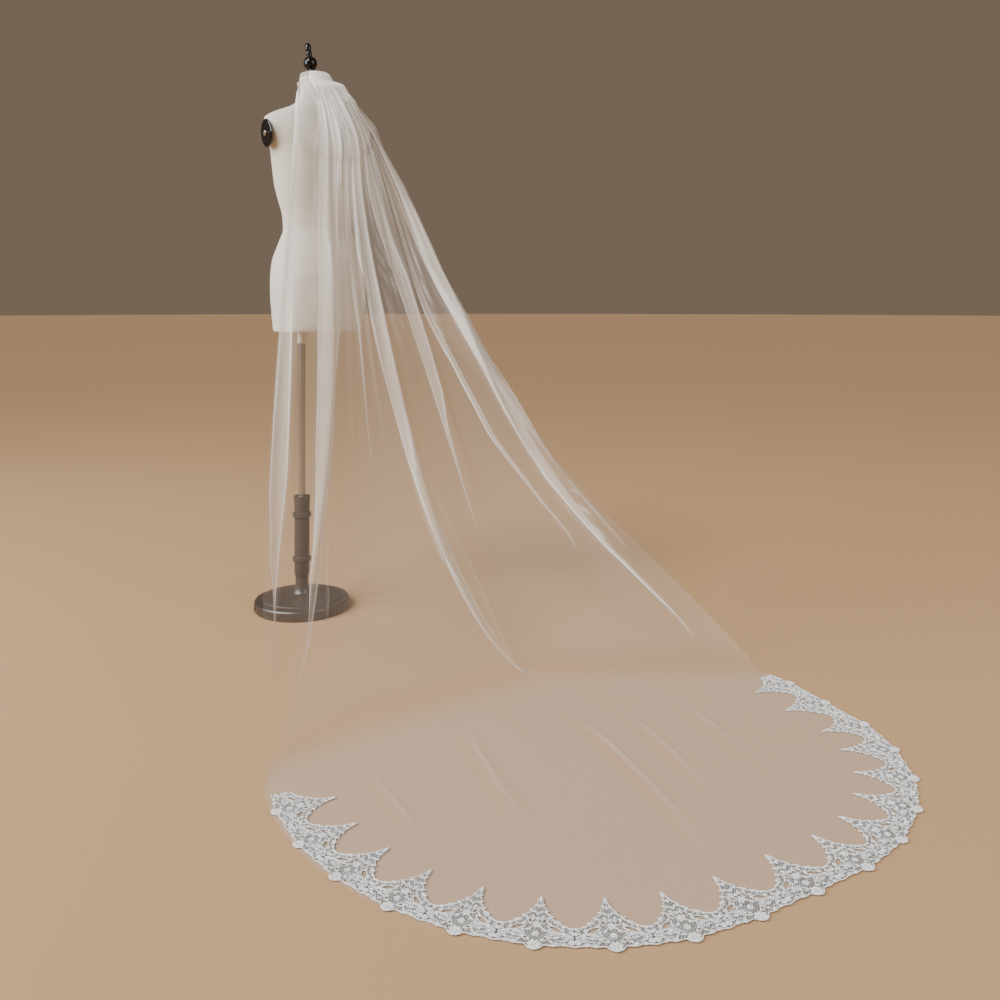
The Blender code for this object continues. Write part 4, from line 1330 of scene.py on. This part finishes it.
# Flowers: centre along and inwards, radius, petals
LACE_FLOWERS = (
    (0.0, 0.003, 0.0118, 7),
    (0.0, 0.046, 0.0080, 6),
    (0.0, 0.026, 0.0062, 6),
    (0.0415, 0.0365, 0.0042, 5),
    (0.0555, 0.0110, 0.0058, 6),
    (0.0115, 0.0350, 0.0036, 5),
    (0.0290, 0.0040, 0.0042, 5),
    (0.0435, 0.0055, 0.0036, 5),
    (0.0580, 0.0290, 0.0040, 5),
    (0.0, 0.0590, 0.0036, 5),
)
# Scrolls: centre along and inwards, outer radius, turns, first angle in degrees
LACE_SCROLLS = (
    (0.0200, 0.0235, 0.0062, 1.4, 200),
    (0.0480, 0.0160, 0.0048, 1.3, 20),
    (0.0085, 0.0600, 0.0038, 1.2, 150),
    (0.0350, 0.0480, 0.0036, 1.2, 320),
    (0.0330, 0.0215, 0.0055, 1.3, 90),
    (0.0170, 0.0570, 0.0034, 1.1, 60),
    (0.0535, 0.0330, 0.0036, 1.1, 240),
    (0.0215, 0.0345, 0.0036, 1.2, 10),
)
# Stems: thickness as a share of the cord's, height, then points along and inwards
LACE_STEMS = (
    (1.0, 0.0010, ((0.003, 0.050), (0.008, 0.038), (0.022, 0.030), (0.040, 0.027), (0.059, 0.020))),
    (0.9, 0.0009, ((0.012, 0.010), (0.024, 0.019), (0.038, 0.020), (0.050, 0.026), (0.058, 0.033))),
)
STEM_STEP = 0.0032


def repeat_outline():
    """Outline of one repeat's ground, round from the outer edge's left end."""
    outer = [(-LACE_PITCH / 2, 0.001)]
    steps = ((-0.043, 0.006), (-0.028, 0.001), (-0.014, 0.004), (-0.010, -0.003), (-0.004, -0.007))
    outer += list(steps) + [(-along, out) for along, out in steps[::-1]]
    outer.append((LACE_PITCH / 2, 0.001))
    inner = [(LACE_PITCH / 2, 0.041)]
    inner += list(PEAK_EDGE) + [(-along, inwards) for along, inwards in PEAK_EDGE[-2::-1]]
    inner.append((-LACE_PITCH / 2, 0.041))
    return outer, inner


def oval(centre, length, width, turn, sides):
    """Points round an oval, pointed at both ends."""
    points = []
    lean = math.radians(turn)
    for k in range(sides):
        angle = 2 * math.pi * k / sides
        a = length / 2 * math.cos(angle)
        b = width / 2 * math.sin(angle) * (1 - 0.45 * math.cos(angle) ** 4)
        x = centre[0] + a * math.cos(lean) - b * math.sin(lean)
        y = centre[1] + a * math.sin(lean) + b * math.cos(lean)
        points.append((x, y))
    return points


def bead(centre, radius, sides):
    """Points round a circle."""
    turns = np.linspace(0, 2 * math.pi, sides, endpoint=False)
    return [(centre[0] + radius * math.cos(a), centre[1] + radius * math.sin(a)) for a in turns]


def mirrored(entries):
    """Each entry, and its mirror image where it is off the peak's centre line."""
    for entry in entries:
        yield entry, 1
        if abs(entry[0]) > 1e-6:
            yield entry, -1


def mirrored_ovals(entries, sides):
    """An oval for each (along, inwards, length, width, turn) row, and its mirror image."""
    ovals = []
    for (along, inwards, length, width, turn), side in mirrored(entries):
        ovals.append(oval((side * along, inwards), length, width, turn if side > 0 else 180 - turn, sides))
    return ovals


def inside(point, polygon):
    """Whether a point lies within a polygon: a line from it crosses the edge an odd number of times."""
    hit = False
    for (x1, y1), (x2, y2) in zip(polygon, polygon[1:] + polygon[:1]):
        if (y1 > point[1]) != (y2 > point[1]) and point[0] < x1 + (point[1] - y1) * (x2 - x1) / (y2 - y1):
            hit = not hit
    return hit


class Relief:
    """Vertices and faces of one repeat, as (along, inwards, height)."""

    def __init__(self):
        self.verts = []
        self.faces = []

    def cord(self, path, radius, sides=4, closed=False, height=None):
        """Cord of the given radius along a path of (along, inwards), lying on the ground."""
        path = np.array(path, float)
        if closed:
            ahead, behind = np.roll(path, -1, axis=0), np.roll(path, 1, axis=0)
            run = ahead - behind
        else:
            run = np.gradient(path, axis=0)
        run /= np.maximum(np.linalg.norm(run, axis=1), 1e-9)[:, None]
        beside = np.column_stack([-run[:, 1], run[:, 0]])
        level = radius * 0.8 if height is None else height
        first = len(self.verts)
        for spot, out in zip(path, beside):
            for k in range(sides):
                angle = 2 * math.pi * (k + 0.5) / sides
                across = radius * math.cos(angle)
                self.verts.append((*(spot + out * across), level + radius * math.sin(angle)))
        count = len(path)
        for i in range(count if closed else count - 1):
            for k in range(sides):
                a = first + i * sides + k
                b = first + i * sides + (k + 1) % sides
                c = first + (i + 1) % count * sides + (k + 1) % sides
                d = first + (i + 1) % count * sides + k
                self.faces.append((a, d, c, b))
        if not closed:
            self.faces.append(tuple(first + k for k in range(sides)))
            self.faces.append(tuple(first + (count - 1) * sides + k for k in range(sides))[::-1])

    def dome(self, ring, rise, level=0.0):
        """Closed low dome over a ring of points, with a raised middle."""
        first = len(self.verts)
        middle = np.mean(np.array(ring), axis=0)
        count = len(ring)
        for x, y in ring:
            self.verts.append((x, y, level))
        for x, y in ring:
            inner = middle + (np.array([x, y]) - middle) * 0.72
            self.verts.append((*inner, level + rise * 0.8))
        self.verts.append((*middle, level + rise))
        for k in range(count):
            a, b = first + k, first + (k + 1) % count
            self.faces.append((a, b, b + count, a + count))
            self.faces.append((a + count, b + count, first + 2 * count))
        self.faces.append(tuple(first + k for k in range(count))[::-1])


def lattice(relief, outline, holes):
    """Crossed cords of the net ground, kept where they lie on it."""
    reach = int(0.20 / LATTICE_PITCH)
    for i in range(-reach, reach):
        for j in range(-reach, reach):
            x = (i - j) * LATTICE_PITCH / 2
            y = (i + j) * LATTICE_PITCH / 2
            if abs(x) > LACE_PITCH / 2 + 0.003 or not -0.008 < y < 0.112:
                continue
            for side in (-1, 1):
                end = (x + side * LATTICE_PITCH / 2, y + LATTICE_PITCH / 2)
                middle = ((x + end[0]) / 2, (y + end[1]) / 2)
                if inside(middle, outline) and not any(inside(middle, hole) for hole in holes):
                    relief.cord([(x, y), end], LATTICE_RADIUS, sides=3)


def spaced(path, step, closed=True):
    """Points about a step apart along a path."""
    path = np.array(path, float)
    if closed:
        path = np.vstack([path, path[:1]])
    total = path_length(path)
    count = max(int(round(total / step)), 4)
    spots = np.linspace(0, total, count + 1)
    return resample(path, spots[:-1] if closed else spots)


def rounded(path, passes=2):
    """Open path with its corners cut."""
    path = np.array(path, float)
    for _ in range(passes):
        quarter = path[:-1] * 0.75 + path[1:] * 0.25
        three = path[:-1] * 0.25 + path[1:] * 0.75
        path = np.vstack([path[:1], np.stack([quarter, three], axis=1).reshape(-1, 2), path[-1:]])
    return path


def floor_place(verts):
    """Place on the floor of points given as distance along the hem, inwards and height."""
    hem = hem_curve(1201)
    reach = np.linspace(0, path_length(hem), len(hem))
    run = np.gradient(hem, axis=0)
    run /= np.linalg.norm(run, axis=1)[:, None]
    s = np.clip(verts[:, 0], 0.0, reach[-1])
    x, y = (np.interp(s, reach, hem[:, axis]) for axis in range(2))
    tx, ty = (np.interp(s, reach, run[:, axis]) for axis in range(2))
    size = np.hypot(tx, ty)
    inwards = verts[:, 1] + LACE_INSET
    return np.column_stack([x - ty / size * inwards, y + tx / size * inwards, LACE_FLOOR + verts[:, 2]])


def repeated(name, relief, mat):
    """The relief in every repeat along the hem, as one piece."""
    one = np.array(relief.verts)
    verts = []
    faces = []
    for k in range(LACE_REPEATS):
        shifted = one.copy()
        shifted[:, 0] += LACE_LEAD + (k + 0.5) * LACE_PITCH
        verts.append(shifted)
        faces += [tuple(i + k * len(one) for i in face) for face in relief.faces]
    return mesh_piece(name, floor_place(np.vstack(verts)), faces, mat)


def lace_thread(name, tones, bump_depth):
    """Mercerised cotton cord: silvery ivory with a soft lustre and a twist in the thread."""
    settings = {"Roughness": 0.5, "Sheen Weight": 0.4, "Sheen Roughness": 0.3}
    mat = finish_material(name, settings)
    place = add_node(mat, "TexCoord")
    # Stitches are 1 mm long, drawn at 3.5 mm so that they show
    stitch = add_node(mat, "TexNoise", {"Scale": 300.0, "Detail": 3.0}, [("Vector", place, "Object")])
    stops = ((0.35, tones[0]), (0.65, tones[1]))
    tone = add_node(mat, "ValToRGB", {"stops": stops}, [("Fac", stitch, "Fac")])
    feed(mat, "Base Color", tone, "Color")
    bump = add_node(mat, "Bump", {"Strength": 0.5, "Distance": bump_depth}, [("Height", stitch, "Fac")])
    feed(mat, "Normal", bump, "Normal")
    return mat


def build_lace():
    """The ground, the net, the cords and the motifs of one repeat."""
    outer, inner = repeat_outline()
    outline = [tuple(p) for p in rounded(outer)] + [tuple(p) for p in rounded(inner, 1)]
    holes = mirrored_ovals(LACE_EYES, 12)

    ground = Relief()
    points = []
    edges = []
    for loop in (outline, *holes):
        first = len(points)
        points += loop
        edges += [(first + i, first + (i + 1) % len(loop)) for i in range(len(loop))]
    verts, _, cells, _, _, _ = delaunay_2d_cdt([Vector(p) for p in points], edges, [], 1, 1e-7)
    kept = []
    for cell in cells:
        middle = sum((verts[i] for i in cell), Vector((0, 0))) / len(cell)
        if inside(middle, outline) and not any(inside(middle, hole) for hole in holes):
            kept.append(tuple(cell))
    count = len(verts)
    ground.verts = [(*v, 0.0) for v in verts] + [(*v, GROUND_THICKNESS) for v in verts]
    rim = set()
    for cell in kept:
        ground.faces += [tuple(i + count for i in cell), cell[::-1]]
        rim.update(zip(cell, cell[1:] + cell[:1]))
    ground.faces += [(b, a, a + count, b + count) for a, b in rim if (b, a) not in rim]

    net = Relief()
    lattice(net, outline, holes)

    cords = Relief()
    cords.cord(spaced(rounded(outer), 0.0030, closed=False), CORD_RADIUS, height=CORD_LEVEL)
    cords.cord(spaced(rounded(inner, 1), 0.0026, closed=False), CORD_RADIUS, height=CORD_LEVEL)
    for hole in holes:
        cords.cord(spaced(hole, 0.0024), CORD_RADIUS * 0.8, closed=True, height=CORD_LEVEL)
    for (along, inwards, radius, turns, first), side in mirrored(LACE_SCROLLS):
        path = []
        steps = int(turns * SCROLL_STEPS)
        for k in range(steps + 1):
            angle = math.radians(first) + 2 * math.pi * turns * k / steps
            size = radius * (1 - SCROLL_CLOSING * k / steps)
            path.append((side * (along + size * math.cos(angle)), inwards + size * math.sin(angle)))
        cords.cord(path, CORD_RADIUS * 0.85, height=SCROLL_LEVEL)
    for side in (-1, 1):
        for thickness, height, stem in LACE_STEMS:
            path = rounded([(side * along, inwards) for along, inwards in stem])
            cords.cord(spaced(path, STEM_STEP, closed=False), CORD_RADIUS * thickness, height=height)

    motifs = Relief()
    for ring in mirrored_ovals(LACE_LEAVES, 10):
        motifs.dome(ring, LEAF_RISE, MOTIF_LEVEL)
    for (along, inwards, radius, petals), side in mirrored(LACE_FLOWERS):
        centre = (side * along, inwards)
        for k in range(petals):
            turn = 2 * math.pi * (k + 0.25) / petals
            away = PETAL_PLACE * radius
            spot = (centre[0] + away * math.cos(turn), centre[1] + away * math.sin(turn))
            wide = PETAL_WIDTH * radius * math.sin(math.pi / petals)
            petal = oval(spot, PETAL_LENGTH * radius, wide, math.degrees(turn), 8)
            motifs.dome(petal, LEAF_RISE, FLOWER_LEVEL)
        motifs.dome(bead(centre, EYE_RADIUS * radius, 8), EYE_RISE, FLOWER_LEVEL)
    # Picots: small loops, drawn as beads, close along the inner and outer edges
    for edge, step in ((outer, 0.0042), (inner, 0.0040)):
        for spot in spaced(rounded(edge, 1), step, closed=False)[1:-1]:
            motifs.dome(bead(spot, PICOT_RADIUS, 6), PICOT_RISE, MOTIF_LEVEL)
    return ground, net, cords, motifs


ground, net, cords, motifs = build_lace()
thread = lace_thread("mercerised_cotton_cord", ("cfcbc6", "ffffff"), 0.0006)
# A thin half-clear sheet under the lace's net, coloured dark: painted shade of the cords on the floor
# beneath
painted_shade_filling = lace_thread("lace_ground_painted_shade", ("4f4740", "766c63"), 0.0005)
painted_shade_filling.node_tree.nodes["Principled BSDF"].inputs["Alpha"].default_value = 0.45
lace_ground = repeated("lace_ground", ground, painted_shade_filling)
lace_net = repeated("lace_net", net, thread)
lace_cords = repeated("lace_cords", cords, thread)
lace_motifs = repeated("lace_motifs", motifs, thread)
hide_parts("lace_border")
for piece in (lace_ground, lace_net, lace_cords, lace_motifs):
    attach(piece, "root")


# Studio: a plain tan floor, two large soft lights, a wide soft sun and a camera level with the
# hip, at the photograph's viewing angle.

FLOOR_RADIUS = 60.0
FLOOR_DROP = 0.0005
LAMP_COLOUR = (0.93, 0.97, 1.0)
SUN_SPREAD = math.radians(28)
CAMERA_TURN = math.radians(38)
CAMERA_PLACE = (-1.27594, -2.59689, 0.92)
CAMERA_LENS = 34.02
HORIZON_SHIFT = -0.2


def studio_floor():
    """A wide round sheet of matt vinyl, a little below the pieces."""
    foot = (0, 0, -FLOOR_DROP)
    bpy.ops.mesh.primitive_circle_add(vertices=96, radius=FLOOR_RADIUS, fill_type="NGON", location=foot)
    floor = bpy.context.object
    floor.name = "studio_floor"
    mat = finish_material("matt_studio_vinyl", {"Base Color": linear("b58f67"), "Roughness": 0.8})
    floor.data.materials.append(mat)
    bpy.ops.object.transform_apply(location=True)
    return floor


studio_floor()

world = bpy.data.worlds.new("studio")
bpy.context.scene.world = world
world.use_nodes = True
world.node_tree.nodes["Background"].inputs["Color"].default_value = linear("94806d")
world.node_tree.nodes["Background"].inputs["Strength"].default_value = 0.62

# Each row is a soft light: name, place, what it points at, width and power in watts.
for name, place, target, width, power in (
    ("key_light", (-3.6, 1.2, 2.6), (0.0, -0.3, 0.9), 2.4, 210),
    ("fill_light", (1.6, -4.6, 3.4), (0.1, -0.7, 0.5), 3.2, 120),
):
    lamp = bpy.data.lights.new(name, "AREA")
    lamp.shape = "SQUARE"
    lamp.size = width
    lamp.energy = power
    lamp.color = LAMP_COLOUR
    light = bpy.data.objects.new(name, lamp)
    light.location = place
    light.rotation_euler = (Vector(target) - Vector(place)).to_track_quat("-Z", "Y").to_euler()
    bpy.context.scene.collection.objects.link(light)

# One wide sun does the rest, so that the floor is as bright far off as near by
sun_data = bpy.data.lights.new("soft_sun", "SUN")
sun_data.energy = 3.4
sun_data.color = LAMP_COLOUR
sun_data.angle = SUN_SPREAD
sun = bpy.data.objects.new("soft_sun", sun_data)
sun.rotation_euler = Vector((3.2, 0.6, -3.2)).to_track_quat("-Z", "Y").to_euler()
bpy.context.scene.collection.objects.link(sun)

camera_data = bpy.data.cameras.new("camera")
camera_data.lens = CAMERA_LENS
camera_data.sensor_width = 36.0
camera_data.shift_y = HORIZON_SHIFT
camera = bpy.data.objects.new("camera", camera_data)
camera.location = CAMERA_PLACE
camera.rotation_euler = (math.radians(90), 0, -CAMERA_TURN)
bpy.context.scene.collection.objects.link(camera)
bpy.context.scene.camera = camera

bpy.context.view_layer.update()
